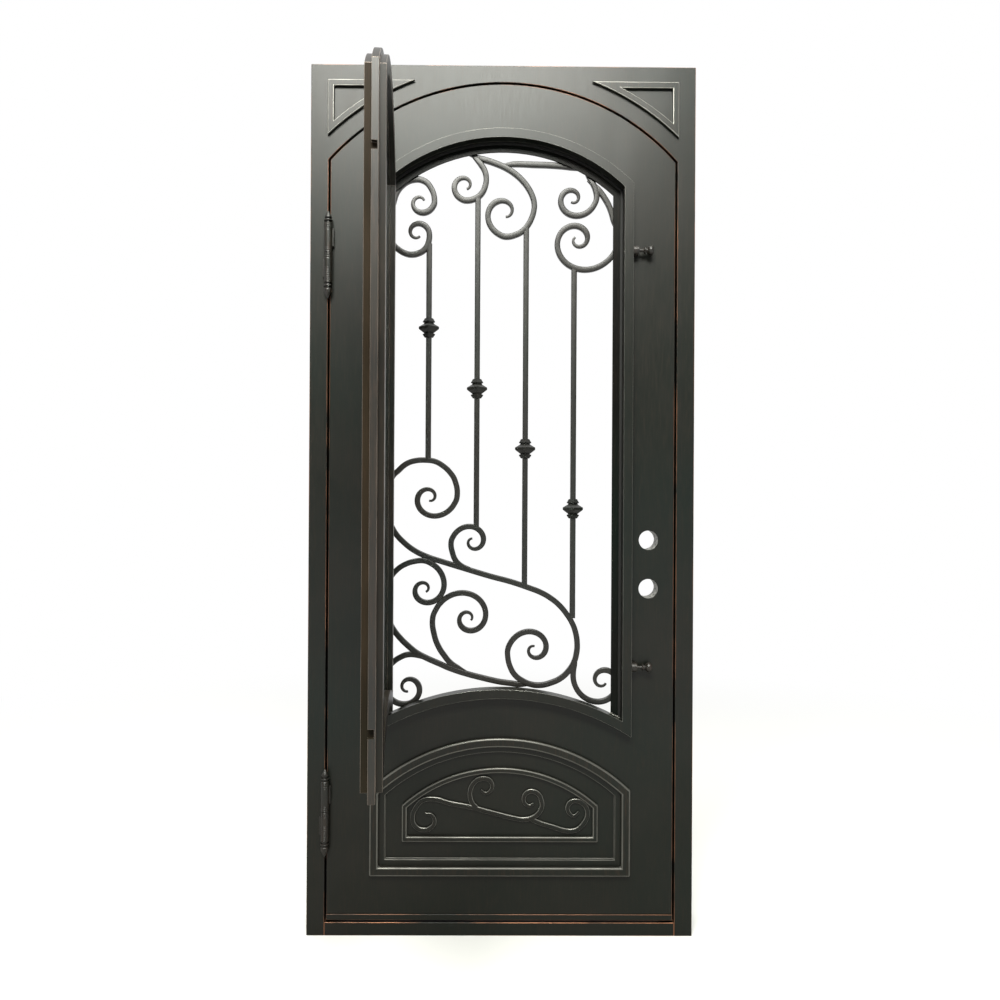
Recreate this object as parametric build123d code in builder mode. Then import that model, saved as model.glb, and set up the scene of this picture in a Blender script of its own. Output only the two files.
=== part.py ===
from build123d import *
import math
import os

os.makedirs("parts", exist_ok=True)

# Wrought iron entry door with its square headed frame, an arched leaf, a scroll grille
# and a glazed sash that stands open. Millimetres. X runs along the door, Z is up,
# and -Y is the inside, where the hinges and bolts are. Depths are counted from the
# inside face of the leaf and the frame towards the outside.


def arc_radius(half, rise):
    """Radius of an arch from half its width and its rise."""
    return (half**2 + rise**2) / (2 * rise)


# Frame
frame_w = 1080
frame_h = 2440
frame_depth = 140
jamb_face = 50
head_face = 47
sill_h = 37
stop_w = 20
stop_gap = 6
half_w = frame_w / 2
jamb_inner = half_w - jamb_face
face_y = -frame_depth / 2

# Leaf
leaf_gap = 6
leaf_foot_gap = 8
leaf_t = 64
leaf_half = jamb_inner - leaf_gap
leaf_bottom = sill_h + leaf_foot_gap
leaf_top = frame_h - head_face - leaf_gap
leaf_r = arc_radius(leaf_half, 0.4465 * leaf_half)
arch_z = leaf_top - leaf_r
stop_depth = leaf_t + stop_gap
seat = 0.2

# Window opening in the leaf
stile_face = 146
arch_face = 159
rail_h = 650
win_half = leaf_half - stile_face
win_r = leaf_r - arch_face
win_top = leaf_top - arch_face
win_foot = leaf_bottom + rail_h
foot_r = arc_radius(win_half, 0.2575 * win_half)
foot_z = win_foot - foot_r
foot_back_drop = 14
trim_w = 25
trim_proud = 28
seat_depth = 9
seat_t = 5
seat_w = 27.5
gasket_w = 8
gasket_t = 4

# Grille. Its bars are traced on a window 676 wide and scaled to this one.
grille_scale = win_half / 338
bar_w = 15.5
bar_t = 14
bar_tip = 6
grille_front = seat_depth + seat_t
collar_r = 20

# Lower panel
field_depth = 10
outer_half = win_half + 26
outer_bottom = leaf_bottom + 126
outer_top = win_foot - 139
outer_rise = 0.398 * outer_half
outer_r = arc_radius(outer_half, outer_rise)
outer_z = outer_top - outer_r
outer_band = 25
step_band = 17
field_inset = outer_band + step_band
moulding_proud = 15
inner_margin = 89
inner_half = outer_half - inner_margin
inner_bottom = outer_bottom + inner_margin + 2
inner_top = outer_top - inner_margin + 3
inner_r = arc_radius(inner_half, 0.73 * outer_rise)
inner_z = inner_top - inner_r
inner_band = 15
inner_bar_t = 12
vine_w = 13
vine_tip = 5
vine_t = 8

# Lock bores
bore_r = 27
backset = 71
bore_pitch = 136
bore_x = leaf_half - backset
handle_z = leaf_bottom + 929
deadbolt_z = handle_z + bore_pitch

# Leaf hinges
hinge_x = -(jamb_inner + leaf_half) / 2
hinge_depth = -14
hinge_r = 12
hinge_pin_r = 6
hinge_pin_gap = 0.4
hinge_z = (leaf_top - 482, leaf_bottom + 307)

# Sash
sash_gap = 6
sash_step = 12
sash_face_w = 38
sash_front = -40.5
flange_front = -25.5
flange_back = -10.5
sash_back = 3.5
glass_t = 4
glass_bite = 8
sash_open = 85
sash_axis_x = 2 - win_half
sash_axis_depth = -36
sash_hinge_r = 5
sash_pin_r = 2.5
sash_pin_gap = 0.3
sash_hinge_z = (win_top - 378, win_foot + 155)

# Bolts
bolt_z = (win_top - 310, win_foot + 62)
bolt_depth = -19.5
bolt_r = 4.5
bolt_gap = 0.5
bolt_nose_x = win_half + 2
guide_len = 15
notch_h = 18
notch_back = -13


def at_depth(depth):
    """Plane parallel to the door face, a depth behind it, that looks inwards."""
    return Plane.XZ.offset(-(face_y + depth))


def turned(x, depth, angle):
    """A point of the closed sash after it is swung open by an angle."""
    a = math.radians(angle)
    dx = x - sash_axis_x
    dd = depth - sash_axis_depth
    return (
        sash_axis_x + dx * math.cos(a) + dd * math.sin(a),
        face_y + sash_axis_depth - dx * math.sin(a) + dd * math.cos(a),
    )


def sash_plane(depth):
    """The same plane as at_depth, carried round with the open sash."""
    a = math.radians(sash_open)
    x, y = turned(0, depth, sash_open)
    return Plane(
        origin=(x, y, 0),
        x_dir=(math.cos(a), -math.sin(a), 0),
        z_dir=(-math.sin(a), -math.cos(a), 0),
    )


def window_shape(inset, low_r, mode=Mode.ADD):
    """Arched window outline, moved inwards by an inset, over a lower arc."""
    half = win_half - inset
    top_r = win_r - inset
    top = arch_z + math.sqrt(top_r**2 - half**2)
    low = foot_z + math.sqrt(low_r**2 - half**2)
    with BuildLine() as outline:
        Line((-half, low), (-half, top))
        ThreePointArc((-half, top), (0, arch_z + top_r), (half, top))
        Line((half, top), (half, low))
        ThreePointArc((half, low), (0, foot_z + low_r), (-half, low))
    make_face(outline.edges(), mode=mode)


def window_area(inset, mode=Mode.ADD):
    """Window outline with every side moved inwards by the same inset."""
    window_shape(inset, foot_r + inset, mode)


def panel_area(half, bottom, radius, centre_z, mode=Mode.ADD):
    """Outline with a flat bottom, two upright sides and an arched top."""
    top = centre_z + math.sqrt(radius**2 - half**2)
    with BuildLine() as outline:
        Line((-half, top), (-half, bottom))
        Line((-half, bottom), (half, bottom))
        Line((half, bottom), (half, top))
        ThreePointArc((half, top), (0, centre_z + radius), (-half, top))
    make_face(outline.edges(), mode=mode)


def volute(pole, radius, start, turn, ratio):
    """Points of a spiral whose radius shrinks by the same ratio each quarter turn."""
    steps = max(2, round(abs(turn) / 30))
    points = []
    for i in range(steps + 1):
        part = turn * i / steps
        r = radius * ratio ** (abs(part) / 90)
        a = math.radians(start + part)
        points.append((pole[0] + r * math.cos(a), pole[1] + r * math.sin(a)))
    return points


def ribbon(points, width, tip_start=None, tip_end=None):
    """Flat outline of a bar that follows points and thins to its forged tips."""
    path = Edge.make_spline([Vector(x, z) for x, z in points])
    count = round(1.4 * len(points))
    thin = 6 * width
    length = path.length
    left = []
    right = []
    for i in range(count + 1):
        t = i / count
        half = width / 2
        if tip_end is not None:
            half = min(half, (tip_end + (width - tip_end) * min(1, (1 - t) * length / thin)) / 2)
        if tip_start is not None:
            half = min(half, (tip_start + (width - tip_start) * min(1, t * length / thin)) / 2)
        p = path.position_at(t)
        d = path.tangent_at(t)
        left.append((p.X - d.Y * half, p.Y + d.X * half))
        right.append((p.X + d.Y * half, p.Y - d.X * half))
    with BuildLine() as outline:
        Polyline(*left, *right[::-1], close=True)
    make_face(outline.edges())


def stack(plane, rings, sides):
    """Turned shape with flat facets, from (height, radius) rings along a plane's normal."""
    loops = []
    for height, radius in rings:
        loop = []
        for i in range(sides):
            a = 2 * math.pi * i / sides
            spot = (radius * math.cos(a), radius * math.sin(a), height)
            loop.append(plane.from_local_coords(spot))
        loops.append(loop)
    faces = [Face(Wire.make_polygon(loops[0])), Face(Wire.make_polygon(loops[-1]))]
    for low, high in zip(loops, loops[1:]):
        for i in range(sides):
            j = (i + 1) % sides
            faces.append(Face(Wire.make_polygon([low[i], low[j], high[j], high[i]])))
    add(Solid(Shell(faces)))


def upright(x, low, high, width):
    """Straight upright bar between two heights."""
    with Locations((x, (low + high) / 2)):
        Rectangle(width, high - low)


# Frame pieces. The jambs and the head carry the stop that the leaf shuts against.

with BuildPart() as jamb_left:
    with BuildSketch(Plane.XY):
        with BuildLine():
            Polyline(
                (-half_w, face_y),
                (-jamb_inner, face_y),
                (-jamb_inner, face_y + stop_depth),
                (-jamb_inner + stop_w, face_y + stop_depth),
                (-jamb_inner + stop_w, -face_y),
                (-half_w, -face_y),
                close=True,
            )
        make_face()
    extrude(amount=frame_h)
jamb_left.part.label = "jamb_left"
export_step(jamb_left.part, "parts/jamb_left.step")

with BuildPart() as jamb_right:
    with BuildSketch(Plane.XY):
        with BuildLine():
            Polyline(
                (half_w, face_y),
                (jamb_inner, face_y),
                (jamb_inner, face_y + stop_depth),
                (jamb_inner - stop_w, face_y + stop_depth),
                (jamb_inner - stop_w, -face_y),
                (half_w, -face_y),
                close=True,
            )
        make_face()
    extrude(amount=frame_h)
jamb_right.part.label = "jamb_right"
export_step(jamb_right.part, "parts/jamb_right.step")


def head_area(half, radius):
    """Area between the arch of the doorway and the flat top of the frame."""
    side = arch_z + math.sqrt(radius**2 - half**2)
    with BuildLine() as outline:
        Line((-half, side), (-half, frame_h))
        Line((-half, frame_h), (half, frame_h))
        Line((half, frame_h), (half, side))
        ThreePointArc((half, side), (0, arch_z + radius), (-half, side))
    make_face(outline.edges())


with BuildPart() as head:
    with BuildSketch(at_depth(0)):
        head_area(jamb_inner, leaf_r + leaf_gap)
    extrude(amount=-stop_depth)
    with BuildSketch(at_depth(stop_depth)):
        head_area(jamb_inner - stop_w, leaf_r + leaf_gap - stop_w)
    extrude(amount=-(frame_depth - stop_depth))
head.part.label = "head"
export_step(head.part, "parts/head.step")

with BuildPart() as sill:
    with BuildSketch(Plane.XY):
        with BuildLine():
            Polyline(
                (-jamb_inner, face_y),
                (jamb_inner, face_y),
                (jamb_inner, face_y + stop_depth),
                (jamb_inner - stop_w, face_y + stop_depth),
                (jamb_inner - stop_w, -face_y),
                (-jamb_inner + stop_w, -face_y),
                (-jamb_inner + stop_w, face_y + stop_depth),
                (-jamb_inner, face_y + stop_depth),
                close=True,
            )
        make_face()
    extrude(amount=sill_h)
sill.part.label = "sill"
export_step(sill.part, "parts/sill.step")


def spandrel(side):
    """Three sided raised trim in an upper corner of the frame."""
    corner_x = jamb_inner + 2
    top_z = leaf_top + leaf_gap + 1
    band = 18
    arc_r = leaf_r + leaf_gap + 46
    for inset, mode in ((0, Mode.ADD), (band, Mode.SUBTRACT)):
        x = corner_x - inset
        z = top_z - inset
        r = arc_r + inset
        tip_x = math.sqrt(r**2 - (z - arch_z) ** 2)
        tip_z = arch_z + math.sqrt(r**2 - x**2)
        a = (math.atan2(z - arch_z, tip_x) + math.atan2(tip_z - arch_z, x)) / 2
        with BuildLine() as outline:
            Line((side * tip_x, z), (side * x, z))
            Line((side * x, z), (side * x, tip_z))
            ThreePointArc(
                (side * x, tip_z),
                (side * r * math.cos(a), arch_z + r * math.sin(a)),
                (side * tip_x, z),
            )
        make_face(outline.edges(), mode=mode)


spandrel_proud = 10

with BuildPart() as spandrel_left:
    with BuildSketch(at_depth(0)):
        spandrel(-1)
    extrude(amount=spandrel_proud)
spandrel_left.part.label = "spandrel_left"
export_step(spandrel_left.part, "parts/spandrel_left.step")

with BuildPart() as spandrel_right:
    with BuildSketch(at_depth(0)):
        spandrel(1)
    extrude(amount=spandrel_proud)
spandrel_right.part.label = "spandrel_right"
export_step(spandrel_right.part, "parts/spandrel_right.step")

# Leaf members. The stiles stop at the spring of the window arch.

stile_top = arch_z + math.sqrt(win_r**2 - win_half**2)
stile_w = leaf_half - win_half
stile_x = (leaf_half + win_half) / 2

with BuildPart() as hinge_stile:
    with BuildSketch(at_depth(0)):
        upright(-stile_x, leaf_bottom, stile_top, stile_w)
    extrude(amount=-leaf_t)
hinge_stile.part.label = "hinge_stile"
export_step(hinge_stile.part, "parts/hinge_stile.step")

with BuildPart() as lock_stile:
    with BuildSketch(at_depth(0)):
        upright(stile_x, leaf_bottom, stile_top, stile_w)
        with Locations((bore_x, deadbolt_z), (bore_x, handle_z)):
            Circle(bore_r, mode=Mode.SUBTRACT)
    extrude(amount=-leaf_t)
lock_stile.part.label = "lock_stile"
export_step(lock_stile.part, "parts/lock_stile.step")

with BuildPart() as arch_rail:
    with BuildSketch(at_depth(0)):
        panel_area(leaf_half, stile_top, leaf_r, arch_z)
        with BuildLine():
            Line((-win_half, stile_top), (win_half, stile_top))
            ThreePointArc((win_half, stile_top), (0, arch_z + win_r), (-win_half, stile_top))
        make_face(mode=Mode.SUBTRACT)
    extrude(amount=-leaf_t)
arch_rail.part.label = "arch_rail"
export_step(arch_rail.part, "parts/arch_rail.step")

with BuildPart() as lower_panel:
    with BuildSketch(at_depth(0)):
        panel_area(win_half, leaf_bottom, foot_r, foot_z)
    extrude(amount=-grille_front)
    with BuildSketch(at_depth(grille_front)):
        panel_area(win_half, leaf_bottom, foot_r - foot_back_drop, foot_z)
    extrude(amount=-(leaf_t - grille_front))
    with BuildSketch(at_depth(0)):
        panel_area(
            outer_half - field_inset,
            outer_bottom + field_inset,
            outer_r - field_inset,
            outer_z,
        )
    extrude(amount=-field_depth, mode=Mode.SUBTRACT)
lower_panel.part.label = "lower_panel"
export_step(lower_panel.part, "parts/lower_panel.step")


def trim_ring():
    """Square tube all round the window, on the inside face of the leaf."""
    with BuildSketch(at_depth(0)) as ring:
        window_area(-trim_w)
        window_area(0, Mode.SUBTRACT)
    extrude(ring.sketch, amount=trim_proud)


def trim_keep(points):
    """Keep one length of the trim, cut to its mitres."""
    with BuildSketch(at_depth(-trim_proud)) as cut:
        with BuildLine():
            Polyline(*points, close=True)
        make_face()
    extrude(cut.sketch, amount=-trim_proud, mode=Mode.INTERSECT)


trim_out = win_half + trim_w
trim_top_in = arch_z + math.sqrt(win_r**2 - win_half**2)
trim_top_out = arch_z + math.sqrt((win_r + trim_w) ** 2 - trim_out**2)
trim_low_in = foot_z + math.sqrt(foot_r**2 - win_half**2)
trim_low_out = foot_z + math.sqrt((foot_r - trim_w) ** 2 - trim_out**2)

with BuildPart() as window_trim_left:
    trim_ring()
    trim_keep(
        [
            (-win_half, trim_top_in),
            (-win_half, trim_low_in),
            (-trim_out, trim_low_out),
            (-trim_out, trim_top_out),
        ]
    )
window_trim_left.part.label = "window_trim_left"
export_step(window_trim_left.part, "parts/window_trim_left.step")

with BuildPart() as window_trim_right:
    trim_ring()
    trim_keep(
        [
            (win_half, trim_top_in),
            (trim_out, trim_top_out),
            (trim_out, trim_low_out),
            (win_half, trim_low_in),
        ]
    )
    with BuildSketch(Plane.YZ.offset(win_half - 1)):
        with Locations((face_y + bolt_depth, bolt_z[0]), (face_y + bolt_depth, bolt_z[1])):
            Circle(bolt_r + bolt_gap)
    extrude(amount=trim_w + 2, mode=Mode.SUBTRACT)
window_trim_right.part.label = "window_trim_right"
export_step(window_trim_right.part, "parts/window_trim_right.step")

with BuildPart() as window_trim_arch:
    trim_ring()
    trim_keep(
        [
            (-win_half, trim_top_in),
            (-trim_out, trim_top_out),
            (-trim_out, leaf_top),
            (trim_out, leaf_top),
            (trim_out, trim_top_out),
            (win_half, trim_top_in),
        ]
    )
window_trim_arch.part.label = "window_trim_arch"
export_step(window_trim_arch.part, "parts/window_trim_arch.step")

with BuildPart() as window_trim_bottom:
    trim_ring()
    trim_keep(
        [
            (-win_half, trim_low_in),
            (-win_half, win_foot + 5),
            (win_half, win_foot + 5),
            (win_half, trim_low_in),
            (trim_out, trim_low_out),
            (trim_out, trim_low_out - 50),
            (-trim_out, trim_low_out - 50),
            (-trim_out, trim_low_out),
        ]
    )
window_trim_bottom.part.label = "window_trim_bottom"
export_step(window_trim_bottom.part, "parts/window_trim_bottom.step")


def arch_ring(inset, width):
    """Band along the two sides and the arch of the window, open at the bottom."""
    window_shape(inset, foot_r + seat)
    window_shape(inset + width, foot_r - 60, Mode.SUBTRACT)


with BuildPart() as window_seat:
    with BuildSketch(at_depth(seat_depth)):
        arch_ring(seat, seat_w - seat)
    extrude(amount=-seat_t)
window_seat.part.label = "window_seat"
export_step(window_seat.part, "parts/window_seat.step")

with BuildPart() as window_gasket:
    with BuildSketch(at_depth(seat_depth)):
        arch_ring(seat, gasket_w)
    extrude(amount=gasket_t)
window_gasket.part.label = "window_gasket"
export_step(window_gasket.part, "parts/window_gasket.step")

# Scroll grille. Each scroll is a bar whose end is rolled up as a volute. The upper
# scrolls keep their place under the window arch and the lower ones over its foot.


def upper(points):
    """Traced points of the upper scrolls, placed under the window arch."""
    return [(x * grille_scale, win_top + (z - 2228) * grille_scale) for x, z in points]


def lower(points):
    """Traced points of the lower scrolls, placed over the window's foot."""
    return [(x * grille_scale, win_foot + (z - 695) * grille_scale) for x, z in points]


pickets = []
for x, low, high in ((-208, 1330, 1944), (-71, 1144, 2076), (66, 978, 1992), (202, 888, 1882)):
    pickets.append((lower([(x, low)])[0], upper([(x, high)])[0]))

with BuildPart() as scroll_grille:
    with BuildSketch(at_depth(grille_front)):
        for foot, top in pickets:
            upright(foot[0], foot[1], top[1], bar_w)
        ribbon(
            lower(
                volute((-203, 1227), 77, 0, -460, 0.66)[::-1]
                + [(-132, 1275), (-147, 1299), (-167, 1317), (-187, 1328), (-210, 1332)]
                + [(-250, 1329), (-273, 1319), (-293, 1301), (-305, 1290), (-318, 1266)]
                + [(-327, 1238), (-330, 1210), (-327, 1181), (-313, 1150), (-299, 1125)]
                + [(-276, 1100), (-246, 1077), (-211, 1060), (-165, 1045), (-115, 1030)]
                + [(-65, 1015), (-27, 1004), (27, 990), (81, 972), (110, 961), (139, 945)]
                + [(165, 924), (186, 899), (203, 871), (212, 845), (216, 816), (215, 793)]
                + [(207, 762), (192, 738), (169, 717), (143, 704), (115, 695), (86, 699)]
                + [(62, 710), (40, 727), (26, 752), (20, 778)]
                + volute((94, 798), 74, 180, -461, 0.67)
            ),
            bar_w,
            bar_tip,
            bar_tip,
        )
        ribbon(
            lower(
                [(-60, 1013), (-92, 1024), (-113, 1034), (-128, 1048), (-137, 1068)]
                + volute((-80, 1102), 61.6, 180, -440, 0.684)
            ),
            bar_w,
            None,
            bar_tip,
        )
        ribbon(
            lower(
                [(51, 700), (28, 703), (-2, 707), (-52, 718), (-95, 729), (-139, 743)]
                + [(-179, 760), (-211, 774), (-239, 789), (-260, 806), (-283, 828), (-303, 853)]
                + [(-316, 878), (-324, 906), (-327, 935), (-325, 962), (-320, 984), (-310, 1004)]
                + [(-292, 1024), (-270, 1038), (-245, 1046)]
                + volute((-217, 968), 79.7, 90, -510, 0.683)
            ),
            bar_w,
            None,
            bar_tip,
        )
        ribbon(
            lower(
                [(-95, 733), (-121, 746), (-142, 760), (-159, 780), (-176, 806), (-187, 835)]
                + volute((-93, 886), 99.6, 180, -575, 0.7)
            ),
            bar_w,
            None,
            bar_tip,
        )
        ribbon(
            lower(
                [(213, 790), (209, 759), (205.5, 735)] + volute((288, 711), 81.4, 180, 505, 0.713)
            ),
            bar_w,
            None,
            bar_tip,
        )
        ribbon(
            lower(
                [(-180, 760), (-202, 770), (-228, 780)] + volute((-262, 690), 92.7, 90, 545, 0.706)
            ),
            bar_w,
            None,
            bar_tip,
        )
        ribbon(
            upper(
                volute((-234, 2061), 39.9, 0, -330, 0.72)[::-1]
                + [(-207, 2106), (-227, 2123), (-255, 2125), (-282, 2112), (-301, 2088)]
                + [(-310, 2060), (-320, 2030), (-325, 1998), (-321, 1966), (-311, 1943)]
                + [(-295, 1927), (-275, 1916), (-258, 1913), (-238, 1917), (-221, 1928)]
                + [(-211, 1946)]
                + volute((-243, 1975), 34.5, 0, 310, 0.744)
            ),
            bar_w,
            bar_tip,
            bar_tip,
        )
        ribbon(
            upper(
                [(-92, 2200), (-76, 2184), (-63, 2169), (-52, 2150), (-48, 2129), (-51, 2108)]
                + [(-61, 2087), (-79, 2073)]
                + volute((-108, 2110), 42.3, -90, -335, 0.7)
            ),
            bar_w,
            None,
            bar_tip,
        )
        ribbon(
            upper(
                [(-95, 2197), (-53, 2183), (-25, 2174), (6, 2161), (33, 2144), (56, 2123)]
                + [(72, 2102), (83, 2080), (88, 2060), (87, 2039), (81, 2019), (72, 2001)]
                + [(59, 1985), (38, 1972)]
                + volute((5, 2036), 70, -90, -350, 0.66)
            ),
            bar_w,
            None,
            bar_tip,
        )
        ribbon(
            upper([(0, 2168), (28, 2171), (91, 2170), (132, 2169), (192, 2164), (235, 2156)]),
            bar_w,
        )
        ribbon(
            upper(
                [(232, 2152), (243, 2134), (254, 2118), (262, 2099)]
                + volute((197, 2075), 67.5, 0, -475, 0.7)
            ),
            bar_w,
            None,
            bar_tip,
        )
        ribbon(
            upper([(322, 1985), (313, 2013), (304, 2045), (288, 2076), (268, 2102), (240, 2128)]),
            bar_w,
        )
        ribbon(upper(volute((212, 1958), 114, -10, -575, 0.689)), bar_w, None, bar_tip)
        window_shape(seat, foot_r - foot_back_drop + seat, Mode.INTERSECT)
    extrude(amount=-bar_t)
scroll_grille.part.label = "scroll_grille"
export_step(scroll_grille.part, "parts/scroll_grille.step")

collar_rings = (
    (-25, 13),
    (-20, 13),
    (-18, 16.5),
    (-15, 16.5),
    (-12, 13),
    (-6, 14),
    (-4, collar_r),
    (4, collar_r),
    (6, 14),
    (12, 13),
    (15, 16.5),
    (18, 16.5),
    (20, 13),
    (25, 13),
)


def collar(index, share):
    """Turned collar that is threaded on a picket, a share of the way up it."""
    foot, top = pickets[index]
    x = foot[0]
    y = face_y + grille_front + bar_t / 2
    z = foot[1] + share * (top[1] - foot[1])
    stack(Plane(origin=(x, y, z)), collar_rings, 12)
    with BuildSketch(Plane.XY.offset(z - 30)) as hole:
        with Locations((x, y)):
            Rectangle(bar_w + 2 * seat, bar_t + 2 * seat)
    extrude(hole.sketch, amount=60, mode=Mode.SUBTRACT)


with BuildPart() as picket_collar_1:
    collar(0, 0.619)
picket_collar_1.part.label = "picket_collar_1"
export_step(picket_collar_1.part, "parts/picket_collar_1.step")

with BuildPart() as picket_collar_2:
    collar(1, 0.416)
picket_collar_2.part.label = "picket_collar_2"
export_step(picket_collar_2.part, "parts/picket_collar_2.step")

with BuildPart() as picket_collar_3:
    collar(2, 0.377)
picket_collar_3.part.label = "picket_collar_3"
export_step(picket_collar_3.part, "parts/picket_collar_3.step")

with BuildPart() as picket_collar_4:
    collar(3, 0.304)
picket_collar_4.part.label = "picket_collar_4"
export_step(picket_collar_4.part, "parts/picket_collar_4.step")

# Lower panel mouldings and the low scroll work on its field.

with BuildPart() as panel_outer_moulding:
    with BuildSketch(at_depth(0)):
        panel_area(outer_half, outer_bottom, outer_r, outer_z)
        panel_area(
            outer_half - outer_band,
            outer_bottom + outer_band,
            outer_r - outer_band,
            outer_z,
            Mode.SUBTRACT,
        )
    extrude(amount=moulding_proud)
panel_outer_moulding.part.label = "panel_outer_moulding"
export_step(panel_outer_moulding.part, "parts/panel_outer_moulding.step")

with BuildPart() as panel_inner_moulding:
    with BuildSketch(at_depth(field_depth)):
        panel_area(inner_half, inner_bottom, inner_r, inner_z)
        panel_area(
            inner_half - inner_band,
            inner_bottom + inner_band,
            inner_r - inner_band,
            inner_z,
            Mode.SUBTRACT,
        )
    extrude(amount=inner_bar_t)
panel_inner_moulding.part.label = "panel_inner_moulding"
export_step(panel_inner_moulding.part, "parts/panel_inner_moulding.step")


def on_panel(points):
    """Traced points of the panel's scroll work, scaled to the inner moulding."""
    spread = inner_half / 275
    rise = (inner_top - inner_bottom) / 208
    return [(x * spread, inner_bottom + (z - 262) * rise) for x, z in points]


with BuildPart() as panel_scroll:
    with BuildSketch(at_depth(field_depth)):
        ribbon(
            on_panel(
                [(-209, 339), (-191, 335), (-183, 317), (-195, 299), (-215, 294), (-238, 305)]
                + [(-245, 330), (-236, 356), (-217, 376), (-192, 381), (-136, 368), (-81, 358)]
                + [(-38, 347), (0, 337), (38, 328), (70, 324), (93, 330), (109, 342), (118, 361)]
                + [(116, 379), (109, 394), (92, 403), (77, 400), (67, 386), (69, 371), (81, 362)]
                + [(95, 368)]
            ),
            vine_w,
            vine_tip,
            vine_tip,
        )
        ribbon(
            on_panel(
                [(-66, 357), (-78, 370), (-84, 388), (-83, 407), (-74, 425), (-60, 436)]
                + [(-44, 439), (-29, 433), (-22, 419), (-27, 404), (-40, 397), (-54, 405)]
            ),
            vine_w,
            None,
            vine_tip,
        )
        ribbon(
            on_panel(
                [(88, 325), (105, 317), (150, 303), (180, 294), (200, 292), (220, 298)]
                + [(236, 314), (246, 335), (244, 355), (232, 370), (215, 377), (199, 373)]
                + [(190, 359), (194, 343), (208, 334), (222, 346)]
            ),
            vine_w,
            None,
            vine_tip,
        )
    extrude(amount=vine_t)
panel_scroll.part.label = "panel_scroll"
export_step(panel_scroll.part, "parts/panel_scroll.step")

strip_h = 16
strip_proud = 3

with BuildPart() as bottom_strip:
    with BuildSketch(at_depth(0)):
        upright(0, leaf_bottom, leaf_bottom + strip_h, 2 * leaf_half)
    extrude(amount=strip_proud)
bottom_strip.part.label = "bottom_strip"
export_step(bottom_strip.part, "parts/bottom_strip.step")

outside_trim_t = 10

with BuildPart() as outside_window_trim:
    with BuildSketch(at_depth(leaf_t)):
        window_shape(-trim_w, foot_r - foot_back_drop - trim_w)
        window_shape(0, foot_r - foot_back_drop, Mode.SUBTRACT)
    extrude(amount=-outside_trim_t)
outside_window_trim.part.label = "outside_window_trim"
export_step(outside_window_trim.part, "parts/outside_window_trim.step")

# Barrel hinges of the leaf. The lower knuckle with the pin belongs to the frame.

hinge_y = face_y + hinge_depth
knuckle_low = 81
knuckle_high = 88
knuckle_gap = 1
tab_t = 12


hinge_sides = 20
finial_low = (
    (-46, 2.5),
    (-40, 4),
    (-33, 6.5),
    (-26, 11),
    (-22, 12),
    (-18, 11),
    (-13, 8.5),
    (-10, hinge_r + 1.5),
    (-5, hinge_r + 1.5),
    (-5, hinge_r - 1.5),
    (-4, hinge_r - 1.5),
    (-4, hinge_r + 1.5),
    (0, hinge_r + 1.5),
)
finial_high = (
    (0, hinge_r + 1.5),
    (4, hinge_r + 1.5),
    (6, hinge_r - 2),
    (15, hinge_r - 3),
    (27, 4),
    (30, 1),
)


def frame_hinge(z):
    """Knuckle, pin, lower finial and weld tab on the jamb."""
    axis = Plane(origin=(hinge_x, hinge_y, z))
    stack(axis, ((-knuckle_low, hinge_r), (0, hinge_r)), hinge_sides)
    stack(axis, ((0, hinge_pin_r), (60, hinge_pin_r)), hinge_sides)
    stack(axis.offset(-knuckle_low), finial_low, hinge_sides)
    with BuildSketch(Plane.XY.offset(z - 66)) as tab:
        with Locations((-jamb_inner - 1, face_y)):
            Rectangle(12, tab_t, align=(Align.MAX, Align.MAX))
        with Locations((-jamb_inner - 1, face_y - 6)):
            Rectangle(4, 4, align=(Align.MIN, Align.MAX))
    extrude(tab.sketch, amount=50)


def leaf_hinge(z):
    """Knuckle, upper finial and weld tab on the hinge stile."""
    axis = Plane(origin=(hinge_x, hinge_y, z))
    stack(axis, ((knuckle_gap, hinge_r), (knuckle_high, hinge_r)), hinge_sides)
    stack(axis.offset(knuckle_high), finial_high, hinge_sides)
    bore = hinge_pin_r + hinge_pin_gap
    with BuildSketch(Plane.XY.offset(z)) as hole:
        with Locations((hinge_x, hinge_y)):
            RegularPolygon(bore, hinge_sides, major_radius=False)
    extrude(hole.sketch, amount=64, mode=Mode.SUBTRACT)
    with BuildSketch(Plane.XY.offset(z + 20)) as tab:
        with Locations((-leaf_half, face_y)):
            Rectangle(12, tab_t, align=(Align.MIN, Align.MAX))
        with Locations((-leaf_half + 2, face_y - 4)):
            Rectangle(4, 6, align=(Align.MAX, Align.MAX))
        with Locations((hinge_x, hinge_y)):
            Circle(hinge_r - 2, mode=Mode.SUBTRACT)
    extrude(tab.sketch, amount=50)


with BuildPart() as hinge_upper_frame:
    frame_hinge(hinge_z[0])
hinge_upper_frame.part.label = "hinge_upper_frame"
export_step(hinge_upper_frame.part, "parts/hinge_upper_frame.step")

with BuildPart() as hinge_lower_frame:
    frame_hinge(hinge_z[1])
hinge_lower_frame.part.label = "hinge_lower_frame"
export_step(hinge_lower_frame.part, "parts/hinge_lower_frame.step")

with BuildPart() as hinge_upper_leaf:
    leaf_hinge(hinge_z[0])
hinge_upper_leaf.part.label = "hinge_upper_leaf"
export_step(hinge_upper_leaf.part, "parts/hinge_upper_leaf.step")

with BuildPart() as hinge_lower_leaf:
    leaf_hinge(hinge_z[1])
hinge_lower_leaf.part.label = "hinge_lower_leaf"
export_step(hinge_lower_leaf.part, "parts/hinge_lower_leaf.step")

# Glazed sash, drawn shut and carried round to its open place.

sash_inset = sash_gap + sash_step
light_inset = sash_inset + sash_face_w
pocket_inset = light_inset - glass_bite
light_half = win_half - light_inset
flange_inset = sash_gap


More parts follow.
